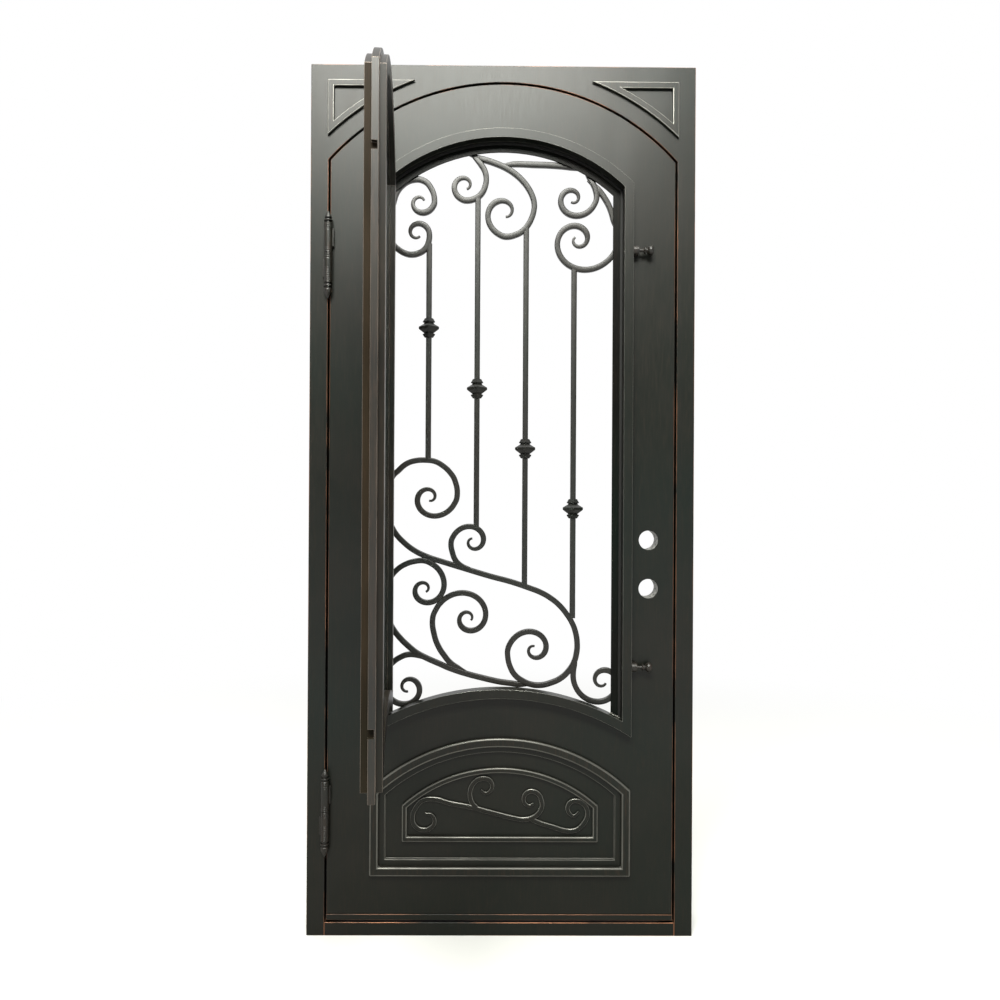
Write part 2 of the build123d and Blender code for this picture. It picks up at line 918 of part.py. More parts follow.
def sash_band(front, back, outer, inner):
    """One layer of the sash frame between two depths, all the way round."""
    with BuildSketch(sash_plane(front)) as layer:
        window_area(outer)
        window_area(inner, Mode.SUBTRACT)
    extrude(layer.sketch, amount=-(back - front))


def sash_ring():
    """Whole sash frame: a wide flange between two narrower layers."""
    sash_band(sash_front, flange_front, sash_inset, light_inset)
    sash_band(flange_front, flange_back, flange_inset, pocket_inset)
    sash_band(flange_back, sash_back, sash_inset, light_inset)


def keep_area(x, z, w, h):
    """Keep only what lies in one upright rectangle of the closed sash."""
    with BuildSketch(sash_plane(sash_front - 5)) as keep:
        with Locations((x, z)):
            Rectangle(w, h)
    extrude(keep.sketch, amount=-(sash_back - sash_front + 10), mode=Mode.INTERSECT)


side_w = 80
side_x = light_half + side_w / 2
heel_top = win_foot - 50

with BuildPart() as sash_stile_hinge:
    sash_ring()
    keep_area(-side_x, frame_h / 2, side_w, frame_h)
    # The heel of the flange is cut back so that it swings clear of the arched trim.
    with BuildSketch(sash_plane(flange_front)):
        with Locations((-side_x, heel_top)):
            Rectangle(side_w, 200, align=(Align.CENTER, Align.MAX))
        window_area(sash_inset, Mode.SUBTRACT)
    extrude(amount=-(flange_back - flange_front), mode=Mode.SUBTRACT)
sash_stile_hinge.part.label = "sash_stile_hinge"
export_step(sash_stile_hinge.part, "parts/sash_stile_hinge.step")

with BuildPart() as sash_stile_free:
    sash_ring()
    keep_area(side_x, frame_h / 2, side_w, frame_h)
    with BuildSketch(sash_plane(flange_front - 1)):
        with Locations((win_half - sash_inset, bolt_z[0]), (win_half - sash_inset, bolt_z[1])):
            Rectangle(40, notch_h, align=(Align.MIN, Align.CENTER))
    extrude(amount=-(notch_back - flange_front + 1), mode=Mode.SUBTRACT)
sash_stile_free.part.label = "sash_stile_free"
export_step(sash_stile_free.part, "parts/sash_stile_free.step")

with BuildPart() as sash_rail_top:
    sash_ring()
    keep_area(0, win_top, 2 * light_half, win_top - win_foot)
sash_rail_top.part.label = "sash_rail_top"
export_step(sash_rail_top.part, "parts/sash_rail_top.step")

with BuildPart() as sash_rail_bottom:
    sash_ring()
    keep_area(0, win_foot, 2 * light_half, win_top - win_foot)
sash_rail_bottom.part.label = "sash_rail_bottom"
export_step(sash_rail_bottom.part, "parts/sash_rail_bottom.step")

pane_front = flange_front + seat
pane_back = flange_back - seat

with BuildPart() as glass_inside:
    with BuildSketch(sash_plane(pane_front)):
        window_area(pocket_inset + 2)
    extrude(amount=-glass_t)
glass_inside.part.label = "glass_inside"
export_step(glass_inside.part, "parts/glass_inside.step")

with BuildPart() as glass_outside:
    with BuildSketch(sash_plane(pane_back - glass_t)):
        window_area(pocket_inset + 2)
    extrude(amount=-glass_t)
glass_outside.part.label = "glass_outside"
export_step(glass_outside.part, "parts/glass_outside.step")

with BuildPart() as glass_spacer:
    sash_band(pane_front + glass_t, pane_back - glass_t, pocket_inset + 2, light_inset + 3)
glass_spacer.part.label = "glass_spacer"
export_step(glass_spacer.part, "parts/glass_spacer.step")

# Small barrel hinges of the sash. The lower knuckle with the pin is on the window trim.

sash_axis_y = face_y + sash_axis_depth
small_knuckle = 32


def sash_hinge_leaf_half(z):
    """Knuckle, pin and tab on the face of the window trim."""
    with BuildSketch(Plane.XY.offset(z - small_knuckle)) as knuckle:
        with Locations((sash_axis_x, sash_axis_y)):
            RegularPolygon(sash_hinge_r, 16)
        with Locations((sash_axis_x - 2, face_y - trim_proud)):
            Rectangle(18, 6, align=(Align.MAX, Align.MAX))
    extrude(knuckle.sketch, amount=small_knuckle)
    with BuildSketch(Plane.XY.offset(z)) as pin:
        with Locations((sash_axis_x, sash_axis_y)):
            RegularPolygon(sash_pin_r, 12)
    extrude(pin.sketch, amount=small_knuckle - 6)


def sash_hinge_sash_half(z):
    """Knuckle and tab on the side of the sash frame."""
    tab_w = sash_inset - win_half - sash_axis_x
    with BuildSketch(Plane.XY.offset(z + 1)) as knuckle:
        with Locations((sash_axis_x, sash_axis_y)):
            RegularPolygon(sash_hinge_r, 16)
    extrude(knuckle.sketch, amount=small_knuckle - 1)
    with BuildSketch(sash_plane(sash_axis_depth - 2)) as tab:
        with Locations((sash_axis_x, z + 3)):
            Rectangle(tab_w, small_knuckle - 5, align=(Align.MIN, Align.MIN))
    extrude(tab.sketch, amount=-4)
    with BuildSketch(Plane.XY.offset(z)) as bore:
        with Locations((sash_axis_x, sash_axis_y)):
            RegularPolygon(sash_pin_r + sash_pin_gap, 12, major_radius=False)
    extrude(bore.sketch, amount=small_knuckle - 4, mode=Mode.SUBTRACT)


with BuildPart() as sash_hinge_upper_leaf:
    sash_hinge_leaf_half(sash_hinge_z[0])
sash_hinge_upper_leaf.part.label = "sash_hinge_upper_leaf"
export_step(sash_hinge_upper_leaf.part, "parts/sash_hinge_upper_leaf.step")

with BuildPart() as sash_hinge_lower_leaf:
    sash_hinge_leaf_half(sash_hinge_z[1])
sash_hinge_lower_leaf.part.label = "sash_hinge_lower_leaf"
export_step(sash_hinge_lower_leaf.part, "parts/sash_hinge_lower_leaf.step")

with BuildPart() as sash_hinge_upper_sash:
    sash_hinge_sash_half(sash_hinge_z[0])
sash_hinge_upper_sash.part.label = "sash_hinge_upper_sash"
export_step(sash_hinge_upper_sash.part, "parts/sash_hinge_upper_sash.step")

with BuildPart() as sash_hinge_lower_sash:
    sash_hinge_sash_half(sash_hinge_z[1])
sash_hinge_lower_sash.part.label = "sash_hinge_lower_sash"
export_step(sash_hinge_lower_sash.part, "parts/sash_hinge_lower_sash.step")

# Sliding bolts that hold the shut sash, with their guides on the lock stile.

guide_r = 12.5
bolt_y = face_y + bolt_depth
guide_x = win_half + trim_w + seat


def bolt_guide(z):
    """Guide block on the stile beside the window trim."""
    with BuildSketch(Plane.YZ.offset(guide_x)) as block:
        with Locations((bolt_y, z)):
            RegularPolygon(guide_r, 20)
            Rectangle(-bolt_depth, 2 * guide_r * 0.98, align=(Align.MIN, Align.CENTER))
            RegularPolygon(bolt_r + bolt_gap, 12, major_radius=False, mode=Mode.SUBTRACT)
    extrude(block.sketch, amount=guide_len)


bolt_rings = (
    (0, 3),
    (1.5, bolt_r),
    (53, bolt_r),
    (53, 10),
    (55, 12),
    (58, 12),
    (60, 10),
    (60, 6.5),
    (63, 6.5),
    (66, 8.5),
    (71, 12.5),
    (74, 14),
    (77, 14),
    (80, 11),
)


def bolt(z):
    """Round rod with a collar and a flared knob."""
    axis = Plane(origin=(bolt_nose_x, bolt_y, z), x_dir=(0, 1, 0), z_dir=(1, 0, 0))
    stack(axis, bolt_rings, 16)


with BuildPart() as upper_bolt_guide:
    bolt_guide(bolt_z[0])
upper_bolt_guide.part.label = "upper_bolt_guide"
export_step(upper_bolt_guide.part, "parts/upper_bolt_guide.step")

with BuildPart() as lower_bolt_guide:
    bolt_guide(bolt_z[1])
lower_bolt_guide.part.label = "lower_bolt_guide"
export_step(lower_bolt_guide.part, "parts/lower_bolt_guide.step")

with BuildPart() as upper_bolt:
    bolt(bolt_z[0])
upper_bolt.part.label = "upper_bolt"
export_step(upper_bolt.part, "parts/upper_bolt.step")

with BuildPart() as lower_bolt:
    bolt(bolt_z[1])
lower_bolt.part.label = "lower_bolt"
export_step(lower_bolt.part, "parts/lower_bolt.step")
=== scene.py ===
"""Dresses the wrought iron entry door for a studio picture.

The CAD model is the frame of the whole scene: every piece made here is in metres, in the
same axes, and sits where the model says. X runs along the door, Z is up and -Y is the
inside of the door, which the camera looks at.
"""

import logging
import math
from collections.abc import Callable, Sequence
from dataclasses import dataclass
from enum import Enum

import bmesh
import bpy
from mathutils import Matrix, Vector


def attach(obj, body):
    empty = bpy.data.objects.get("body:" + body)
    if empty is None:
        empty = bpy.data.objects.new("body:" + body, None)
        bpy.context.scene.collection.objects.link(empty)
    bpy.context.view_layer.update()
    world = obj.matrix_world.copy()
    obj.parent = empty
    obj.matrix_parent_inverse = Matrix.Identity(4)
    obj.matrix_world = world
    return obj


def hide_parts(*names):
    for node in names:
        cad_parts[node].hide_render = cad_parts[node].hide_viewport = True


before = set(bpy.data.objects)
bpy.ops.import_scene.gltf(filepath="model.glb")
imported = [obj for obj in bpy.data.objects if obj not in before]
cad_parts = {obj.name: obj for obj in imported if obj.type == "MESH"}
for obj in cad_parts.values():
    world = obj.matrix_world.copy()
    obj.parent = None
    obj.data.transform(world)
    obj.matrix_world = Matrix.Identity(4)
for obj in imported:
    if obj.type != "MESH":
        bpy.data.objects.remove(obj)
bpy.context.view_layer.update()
log = logging.getLogger("door")

MM = 0.001
FACE_Y = -70 * MM
SHARP = math.radians(25)

Point = tuple[float, float]
Links = dict[str | int, bpy.types.NodeSocket]


class Body(Enum):
    """The rigid bodies of the door, by the names of the CAD model."""

    FRAME = "frame"
    LEAF = "leaf"
    SASH = "sash"
    UPPER_BOLT = "upper_bolt"
    LOWER_BOLT = "lower_bolt"


def srgb(code: str, alpha: float = 1.0) -> tuple[float, float, float, float]:
    """Turns an sRGB hex colour into the linear values that a shader takes.

    Args:
        code: Six hex digits, with or without a leading hash.
        alpha: Fourth value of the result.

    Returns:
        Linear red, green and blue, and the alpha.
    """
    digits = code.lstrip("#")
    values = []
    for i in (0, 2, 4):
        c = int(digits[i : i + 2], 16) / 255
        values.append(c / 12.92 if c <= 0.04045 else ((c + 0.055) / 1.055) ** 2.4)
    return (values[0], values[1], values[2], alpha)


def add(
    tree: bpy.types.NodeTree,
    kind: str,
    settings: dict[str | int, object] | None = None,
    links: Links | None = None,
) -> bpy.types.Node:
    """Adds a node with its settings and links.

    Args:
        tree: Tree that takes the node.
        kind: Blender's name of the node type.
        settings: Values by attribute name, or by input name or number.
        links: Output sockets by the name or number of the input they feed.

    Returns:
        The new node.
    """
    node = tree.nodes.new(kind)
    for key, value in (settings or {}).items():
        if isinstance(key, str) and hasattr(node, key):
            setattr(node, key, value)
        else:
            node.inputs[key].default_value = value
    for key, socket in (links or {}).items():
        tree.links.new(socket, node.inputs[key])
    return node


# Finishes


def new_material(name: str) -> tuple[bpy.types.Material, bpy.types.NodeTree]:
    """Makes an empty node material.

    Args:
        name: Name of the finish.

    Returns:
        The material and its node tree.
    """
    material = bpy.data.materials.new(name)
    material.use_nodes = True
    material.node_tree.nodes.clear()
    return material, material.node_tree


def finish_surface(tree: bpy.types.NodeTree, shader: bpy.types.Node) -> None:
    """Feeds a shader into the tree's surface output."""
    add(tree, "ShaderNodeOutputMaterial", links={"Surface": shader.outputs[0]})


@dataclass(frozen=True)
class HandRubbedPaint:
    """Baked satin paint on steel, sprayed dark and then rubbed by hand with bronze.

    The dark coat gives a near black green-brown, the clear satin coat a soft wide
    reflection, and the rubbed bronze faint warm clouds and brush marks.
    """

    name: str
    dark: str = "#11150f"
    cloud: str = "#1b1b16"
    green: str = "#0d1914"
    rub: str = "#6b4a36"
    rub_amount: float = 0.06
    roughness: float = 0.355
    shine: float = 0.4
    wave_mm: float = 2.6
    brush_mm: float = 3.0
    bump: float = 0.05

    def material(self) -> bpy.types.Material:
        """Builds the material.

        Returns:
            The finished node material.
        """
        material, tree = new_material(self.name)
        where = add(tree, "ShaderNodeTexCoord").outputs["Object"]
        cloud = add(
            tree,
            "ShaderNodeTexNoise",
            {"Scale": 5.0, "Detail": 3.0, "Roughness": 0.55},
            {"Vector": where},
        )
        tint = add(
            tree,
            "ShaderNodeTexNoise",
            {"Scale": 2.1, "Detail": 1.0, "Roughness": 0.4},
            {"Vector": where},
        )
        stretch = add(
            tree,
            "ShaderNodeMapping",
            {"Scale": (1.0, 1.0, 0.06)},
            {"Vector": where},
        )
        brush = add(
            tree,
            "ShaderNodeTexNoise",
            {"Scale": 1.0 / (self.brush_mm * MM), "Detail": 4.0, "Roughness": 0.6},
            {"Vector": stretch.outputs[0]},
        )
        cloud_ramp = add(
            tree,
            "ShaderNodeMapRange",
            {"From Min": 0.35, "From Max": 0.68},
            {"Value": cloud.outputs[0]},
        )
        base = add(
            tree,
            "ShaderNodeMix",
            {"data_type": "RGBA", 6: srgb(self.dark), 7: srgb(self.cloud)},
            {0: cloud_ramp.outputs[0]},
        )
        tint_ramp = add(
            tree,
            "ShaderNodeMapRange",
            {"From Min": 0.45, "From Max": 0.7, "To Max": 0.7},
            {"Value": tint.outputs[0]},
        )
        tinted = add(
            tree,
            "ShaderNodeMix",
            {"data_type": "RGBA", 7: srgb(self.green)},
            {0: tint_ramp.outputs[0], 6: base.outputs[2]},
        )
        rub_ramp = add(
            tree,
            "ShaderNodeMapRange",
            {"From Min": 0.5, "From Max": 0.78, "To Max": self.rub_amount},
            {"Value": brush.outputs[0]},
        )
        rubbed = add(
            tree,
            "ShaderNodeMix",
            {"data_type": "RGBA", 7: srgb(self.rub)},
            {0: rub_ramp.outputs[0], 6: tinted.outputs[2]},
        )
        rough = add(
            tree,
            "ShaderNodeMapRange",
            {"To Min": self.roughness - 0.05, "To Max": self.roughness + 0.07},
            {"Value": brush.outputs[0]},
        )
        peel = add(
            tree,
            "ShaderNodeTexNoise",
            {"Scale": 260.0, "Detail": 2.0, "Roughness": 0.5},
            {"Vector": where},
        )
        sheet = add(
            tree,
            "ShaderNodeMapping",
            {"Scale": (1.0, 1.0, 0.35)},
            {"Vector": where},
        )
        wave = add(
            tree,
            "ShaderNodeTexNoise",
            {"Scale": 6.0, "Detail": 1.0, "Roughness": 0.4},
            {"Vector": sheet.outputs[0]},
        )
        sway = add(
            tree,
            "ShaderNodeBump",
            {"Strength": 1.0, "Distance": self.wave_mm * MM},
            {"Height": wave.outputs[0]},
        )
        relief = add(
            tree,
            "ShaderNodeBump",
            {"Strength": self.bump, "Distance": 0.4 * MM},
            {"Height": peel.outputs[0], "Normal": sway.outputs[0]},
        )
        shader = add(
            tree,
            "ShaderNodeBsdfPrincipled",
            {"IOR": 1.5, "Specular IOR Level": self.shine},
            {
                "Base Color": rubbed.outputs[2],
                "Roughness": rough.outputs[0],
                "Normal": relief.outputs[0],
            },
        )
        finish_surface(tree, shader)
        return material


@dataclass(frozen=True)
class WornEdgeAndHighlight:
    """Edge of the painted steel where the dark coat is rubbed through to coppery metal; in the pale
    grey kinds the lighter edge colour is also painted highlight.

    The rub comes and goes along the edge, so it shows as broken warm lines.
    """

    name: str
    dark: str = "#1c1b17"
    rub_and_highlight: str = "#b07a5c"
    amount: float = 0.6
    least: float = 0.0
    metallic: float = 0.7
    roughness: float = 0.34

    def material(self) -> bpy.types.Material:
        """Builds the material.

        Returns:
            The finished node material.
        """
        material, tree = new_material(self.name)
        where = add(tree, "ShaderNodeTexCoord").outputs["Object"]
        patch = add(
            tree,
            "ShaderNodeTexNoise",
            {"Scale": 7.0, "Detail": 5.0, "Roughness": 0.62},
            {"Vector": where},
        )
        amount = add(
            tree,
            "ShaderNodeMapRange",
            {"From Min": 0.42, "From Max": 0.62, "To Min": self.least, "To Max": self.amount},
            {"Value": patch.outputs[0]},
        )
        colour = add(
            tree,
            "ShaderNodeMix",
            {"data_type": "RGBA", 6: srgb(self.dark), 7: srgb(self.rub_and_highlight)},
            {0: amount.outputs[0]},
        )
        metal = add(
            tree,
            "ShaderNodeMath",
            {"operation": "MULTIPLY", 1: self.metallic},
            {0: amount.outputs[0]},
        )
        shader = add(
            tree,
            "ShaderNodeBsdfPrincipled",
            {"Roughness": self.roughness, "Specular IOR Level": 0.5},
            {"Base Color": colour.outputs[2], "Metallic": metal.outputs[0]},
        )
        finish_surface(tree, shader)
        return material


@dataclass(frozen=True)
class MottledBore:
    """Sawn lining of the lock bores, bare grey steel with chips of the dark coat."""

    name: str = "sawn_bore_lining"
    steel: str = "#a9a9a2"
    chip: str = "#2a2b26"

    def material(self) -> bpy.types.Material:
        """Builds the material.

        Returns:
            The finished node material.
        """
        material, tree = new_material(self.name)
        where = add(tree, "ShaderNodeTexCoord").outputs["Object"]
        mottle = add(
            tree,
            "ShaderNodeTexNoise",
            {"Scale": 120.0, "Detail": 4.0, "Roughness": 0.7},
            {"Vector": where},
        )
        chips = add(
            tree,
            "ShaderNodeMapRange",
            {"From Min": 0.46, "From Max": 0.58},
            {"Value": mottle.outputs[0]},
        )
        colour = add(
            tree,
            "ShaderNodeMix",
            {"data_type": "RGBA", 6: srgb(self.steel), 7: srgb(self.chip)},
            {0: chips.outputs[0]},
        )
        relief = add(
            tree,
            "ShaderNodeBump",
            {"Strength": 0.6, "Distance": 0.5 * MM},
            {"Height": mottle.outputs[0]},
        )
        shader = add(
            tree,
            "ShaderNodeBsdfPrincipled",
            {"Roughness": 0.5, "Metallic": 0.2},
            {"Base Color": colour.outputs[2], "Normal": relief.outputs[0]},
        )
        finish_surface(tree, shader)
        return material


@dataclass(frozen=True)
class SealRubber:
    """Extruded EPDM weather strip: matt, nearly black, with a fine grain."""

    name: str = "epdm_weather_strip"
    colour: str = "#141413"

    def material(self) -> bpy.types.Material:
        """Builds the material.

        Returns:
            The finished node material.
        """
        material, tree = new_material(self.name)
        where = add(tree, "ShaderNodeTexCoord").outputs["Object"]
        grain = add(
            tree,
            "ShaderNodeTexNoise",
            {"Scale": 900.0, "Detail": 2.0},
            {"Vector": where},
        )
        relief = add(
            tree,
            "ShaderNodeBump",
            {"Strength": 0.2, "Distance": 0.2 * MM},
            {"Height": grain.outputs[0]},
        )
        rough = add(
            tree,
            "ShaderNodeMapRange",
            {"To Min": 0.62, "To Max": 0.8},
            {"Value": grain.outputs[0]},
        )
        shader = add(
            tree,
            "ShaderNodeBsdfPrincipled",
            {"Base Color": srgb(self.colour)},
            {"Roughness": rough.outputs[0], "Normal": relief.outputs[0]},
        )
        finish_surface(tree, shader)
        return material


@dataclass(frozen=True)
class FloatGlass:
    """Clear float glass with a faint green body colour and a little dust."""

    name: str = "clear_float_glass"
    colour: str = "#eef6f2"

    def material(self) -> bpy.types.Material:
        """Builds the material.

        Returns:
            The finished node material.
        """
        material, tree = new_material(self.name)
        where = add(tree, "ShaderNodeTexCoord").outputs["Object"]
        dust = add(
            tree,
            "ShaderNodeTexNoise",
            {"Scale": 60.0, "Detail": 6.0, "Roughness": 0.7},
            {"Vector": where},
        )
        rough = add(
            tree,
            "ShaderNodeMapRange",
            {"From Min": 0.5, "From Max": 0.9, "To Min": 0.01, "To Max": 0.08},
            {"Value": dust.outputs[0]},
        )
        shader = add(
            tree,
            "ShaderNodeBsdfPrincipled",
            {"Base Color": srgb(self.colour), "Transmission Weight": 1.0, "IOR": 1.5},
            {"Roughness": rough.outputs[0]},
        )
        finish_surface(tree, shader)
        return material


@dataclass(frozen=True)
class MillAluminium:
    """Mill finish aluminium of the glass spacer, with a fine drawn grain."""

    name: str = "mill_aluminium_spacer"
    colour: str = "#b9bab6"

    def material(self) -> bpy.types.Material:
        """Builds the material.

        Returns:
            The finished node material.
        """
        material, tree = new_material(self.name)
        where = add(tree, "ShaderNodeTexCoord").outputs["Object"]
        stretch = add(tree, "ShaderNodeMapping", {"Scale": (1, 1, 0.03)}, {"Vector": where})
        grain = add(
            tree,
            "ShaderNodeTexNoise",
            {"Scale": 700.0, "Detail": 3.0},
            {"Vector": stretch.outputs[0]},
        )
        rough = add(
            tree,
            "ShaderNodeMapRange",
            {"To Min": 0.28, "To Max": 0.5},
            {"Value": grain.outputs[0]},
        )
        shader = add(
            tree,
            "ShaderNodeBsdfPrincipled",
            {"Base Color": srgb(self.colour), "Metallic": 1.0},
            {"Roughness": rough.outputs[0]},
        )
        finish_surface(tree, shader)
        return material


class Finishes:
    """Every finish of the door, each made once."""

    def __init__(self) -> None:
        """Makes the materials."""
        self.paint = HandRubbedPaint("satin_rubbed_paint").material()
        self.moulding = HandRubbedPaint("satin_rubbed_paint_moulding", rub_amount=0.2).material()
        self.forged = HandRubbedPaint(
            "satin_rubbed_paint_forged",
            dark="#191917",
            cloud="#26241f",
            rub_amount=0.1,
            roughness=0.38,
            brush_mm=2.0,
            bump=0.12,
            shine=0.6,
        ).material()
        self.sash = HandRubbedPaint(
            "satin_rubbed_paint_sash", dark="#1c1a16", cloud="#28241e", rub_amount=0.1, shine=0.28
        ).material()
        self.vine = HandRubbedPaint(
            "satin_rubbed_paint_vine", dark="#131511", cloud="#1d1c17", rub_amount=0.1, shine=0.4
        ).material()
        self.bore = MottledBore().material()
        # Flat dark brown with little shine: plain dark brown on the edge of the sash's front layer, and
        # painted shade on top of the bottom rail.
        self.sash_side = HandRubbedPaint(
            "flat_brown_primer", dark="#2b241b", cloud="#352d23", rub_amount=0.1, shine=0.06
        ).material()
        # Painted shade: a near black copy of the paint for the window seat, standing in for the shadow
        # inside the window's recess.
        self.recess_shade = HandRubbedPaint(
            "shaded_paint", dark="#0b0b09", cloud="#11110e", rub_amount=0.05, shine=0.12
        ).material()
        self.sash_flange = HandRubbedPaint(
            "satin_rubbed_paint_flange", dark="#211f1b", cloud="#2e2a24", rub_amount=0.2, shine=0.62
        ).material()
        # Pale edge: rubbed edge wear, lightened also as painted highlight on the sash's edges.
        self.pale_edge_and_highlight = WornEdgeAndHighlight(
            "rubbed_edge_pale", rub_and_highlight="#b5a598", amount=0.8, least=0.3
        ).material()
        self.turned = HandRubbedPaint(
            "satin_rubbed_paint_turned", dark="#141411", cloud="#24211c", rub_amount=0.25, shine=0.6
        ).material()
        self.edge = WornEdgeAndHighlight("rubbed_copper_edge").material()
        self.bright_edge = WornEdgeAndHighlight("rubbed_copper_edge_strong", amount=0.95).material()
        # Pale grey metallic edge: rubbed edge wear, lightened also as painted highlight on the rims and
        # mouldings.
        self.soft_edge_and_highlight = WornEdgeAndHighlight(
            "rubbed_edge_grey", rub_and_highlight="#8f8e88", amount=0.8, least=0.4, metallic=1.0, roughness=0.4
        ).material()
        # Light grey metallic edge: rubbed edge wear, lightened also as painted highlight on the trims,
        # the tendrils and the weld beads.
        self.trim_edge_and_highlight = WornEdgeAndHighlight(
            "rubbed_edge_bright", rub_and_highlight="#b3b2ab", amount=0.85, least=0.5, metallic=1.0, roughness=0.34
        ).material()
        self.rubber = SealRubber().material()
        self.glass = FloatGlass().material()
        self.spacer = MillAluminium().material()


# Shapes


def weld(mesh: bpy.types.Mesh) -> bmesh.types.BMesh:
    """Opens a copy of a CAD mesh as closed, flat-faced geometry.

    Args:
        mesh: The CAD node's mesh of loose triangles.

    Returns:
        Mesh data with merged corners and whole flat faces.
    """
    bm = bmesh.new()
    bm.from_mesh(mesh)
    bmesh.ops.remove_doubles(bm, verts=bm.verts, dist=0.02 * MM)
    bmesh.ops.dissolve_limit(
        bm, angle_limit=math.radians(0.4), verts=bm.verts, edges=bm.edges, delimit=set()
    )
    return bm


def linked(name: str, data: bpy.types.ID) -> bpy.types.Object:
    """Puts data into the scene as an object at the origin."""
    thing = bpy.data.objects.new(name, data)
    bpy.context.scene.collection.objects.link(thing)
    return thing


def object_from(bm: bmesh.types.BMesh, name: str, *materials: bpy.types.Material) -> bpy.types.Object:
    """Turns mesh data into an object of the scene.

    Args:
        bm: The mesh data, which is freed.
        name: Name of the piece.
        materials: Its finishes, by material index.

    Returns:
        The new object.
    """
    mesh = bpy.data.meshes.new(name)
    bm.to_mesh(mesh)
    bm.free()
    for material in materials:
        mesh.materials.append(material)
    return linked(name, mesh)


def smooth(piece: bpy.types.Object, degrees: float = 32) -> None:
    """Shades a piece smooth except across edges sharper than an angle."""
    mesh = piece.data
    mesh.polygons.foreach_set("use_smooth", [True] * len(mesh.polygons))
    mesh.set_sharp_from_angle(angle=math.radians(degrees))


def unite(nodes: tuple[str, ...]) -> bmesh.types.BMesh:
    """Joins CAD nodes as one welded and ground surface.

    Args:
        nodes: CAD nodes that touch.

    Returns:
        Mesh data of their union, with whole flat faces.
    """
    parts = []
    for node in nodes:
        part = object_from(weld(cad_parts[node].data), f"part_{node}")
        bm = bmesh.new()
        bm.from_mesh(part.data)
        bmesh.ops.triangulate(bm, faces=bm.faces)
        bm.to_mesh(part.data)
        bm.free()
        parts.append(part)
    first = parts[0]
    for other in parts[1:]:
        join = first.modifiers.new(other.name, "BOOLEAN")
        join.operation = "UNION"
        join.solver = "EXACT"
        join.object = other
    bpy.context.view_layer.update()
    whole = first.evaluated_get(bpy.context.evaluated_depsgraph_get())
    mesh = bpy.data.meshes.new_from_object(whole)
    bm = weld(mesh)
    bpy.data.meshes.remove(mesh)
    for part in parts:
        bpy.data.objects.remove(part)
    return bm


def settle_normals(piece: bpy.types.Object, degrees: float = 40) -> None:
    """Gives large faces their own flat shading and lets the rounded edges blend.

    Args:
        piece: The piece, whose mesh is replaced.
        degrees: Angle past which an edge stays sharp.
    """
    smooth(piece, degrees)
    weigh = piece.modifiers.new("weigh", "WEIGHTED_NORMAL")
    weigh.keep_sharp = True
    weigh.weight = 100
    bpy.context.view_layer.update()
    seen = piece.evaluated_get(bpy.context.evaluated_depsgraph_get())
    mesh = bpy.data.meshes.new_from_object(seen)
    mesh.name = piece.name
    piece.modifiers.remove(weigh)
    piece.data = mesh


def stand_for(piece: bpy.types.Object, body: Body, *nodes: str) -> None:
    """Lets a piece take the place of CAD nodes.

    Args:
        piece: The piece.
        body: Body that carries it.
        nodes: Nodes that it replaces, which are hidden.
    """
    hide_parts(*nodes)
    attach(piece, body.value)


def dress(
    nodes: str | tuple[str, ...],
    body: Body,
    material: bpy.types.Material,
    edge: bpy.types.Material | None = None,
    radius: float = 1.0,
    segments: int = 2,
    name: str | None = None,
    merge: float = 0.01,
) -> bpy.types.Object:
    """Replaces CAD nodes by the same shape with rounded edges that can take an edge finish of their
    own.

    Args:
        nodes: CAD node, or nodes that are welded and ground flush.
        body: Body that carries them.
        material: Finish of the faces.
        edge: Finish of the rounded edges, or None for the same as the faces.
        radius: Width of the rounding in millimetres.
        segments: Faces across a rounded edge.
        name: Name of the piece, or None to name it after its node.
        merge: Length in millimetres of the slivers that are closed before rounding.

    Returns:
        The new piece.
    """
    if isinstance(nodes, str):
        nodes = (nodes,)
    bm = weld(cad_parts[nodes[0]].data) if len(nodes) == 1 else unite(nodes)
    bmesh.ops.remove_doubles(bm, verts=bm.verts, dist=merge * MM)
    sharp = [
        e
        for e in bm.edges
        if len(e.link_faces) == 2 and e.calc_face_angle(0) > SHARP
    ]
    bmesh.ops.bevel(
        bm,
        geom=sharp,
        offset=radius * MM,
        offset_type="OFFSET",
        segments=segments,
        profile=0.5,
        affect="EDGES",
        clamp_overlap=True,
        material=1 if edge else 0,
    )
    name = name or f"dressed_{nodes[0]}"
    piece = object_from(bm, name, *([material, edge] if edge else [material]))
    settle_normals(piece)
    stand_for(piece, body, *nodes)
    log.info("%s with %d faces", name, len(piece.data.polygons))
    return piece


def recoat(
    piece: bpy.types.Object,
    material: bpy.types.Material,
    chosen: Callable[[Vector, Vector, int], bool],
) -> None:
    """Gives some faces of a piece another finish.

    Args:
        piece: The piece.
        material: Finish that they get.
        chosen: Tells from a face's centre in millimetres, its normal and its present
            material index whether it changes.
    """
    mesh = piece.data
    mesh.materials.append(material)
    index = len(mesh.materials) - 1
    for face in mesh.polygons:
        if chosen(face.center / MM, face.normal, face.material_index):
            face.material_index = index


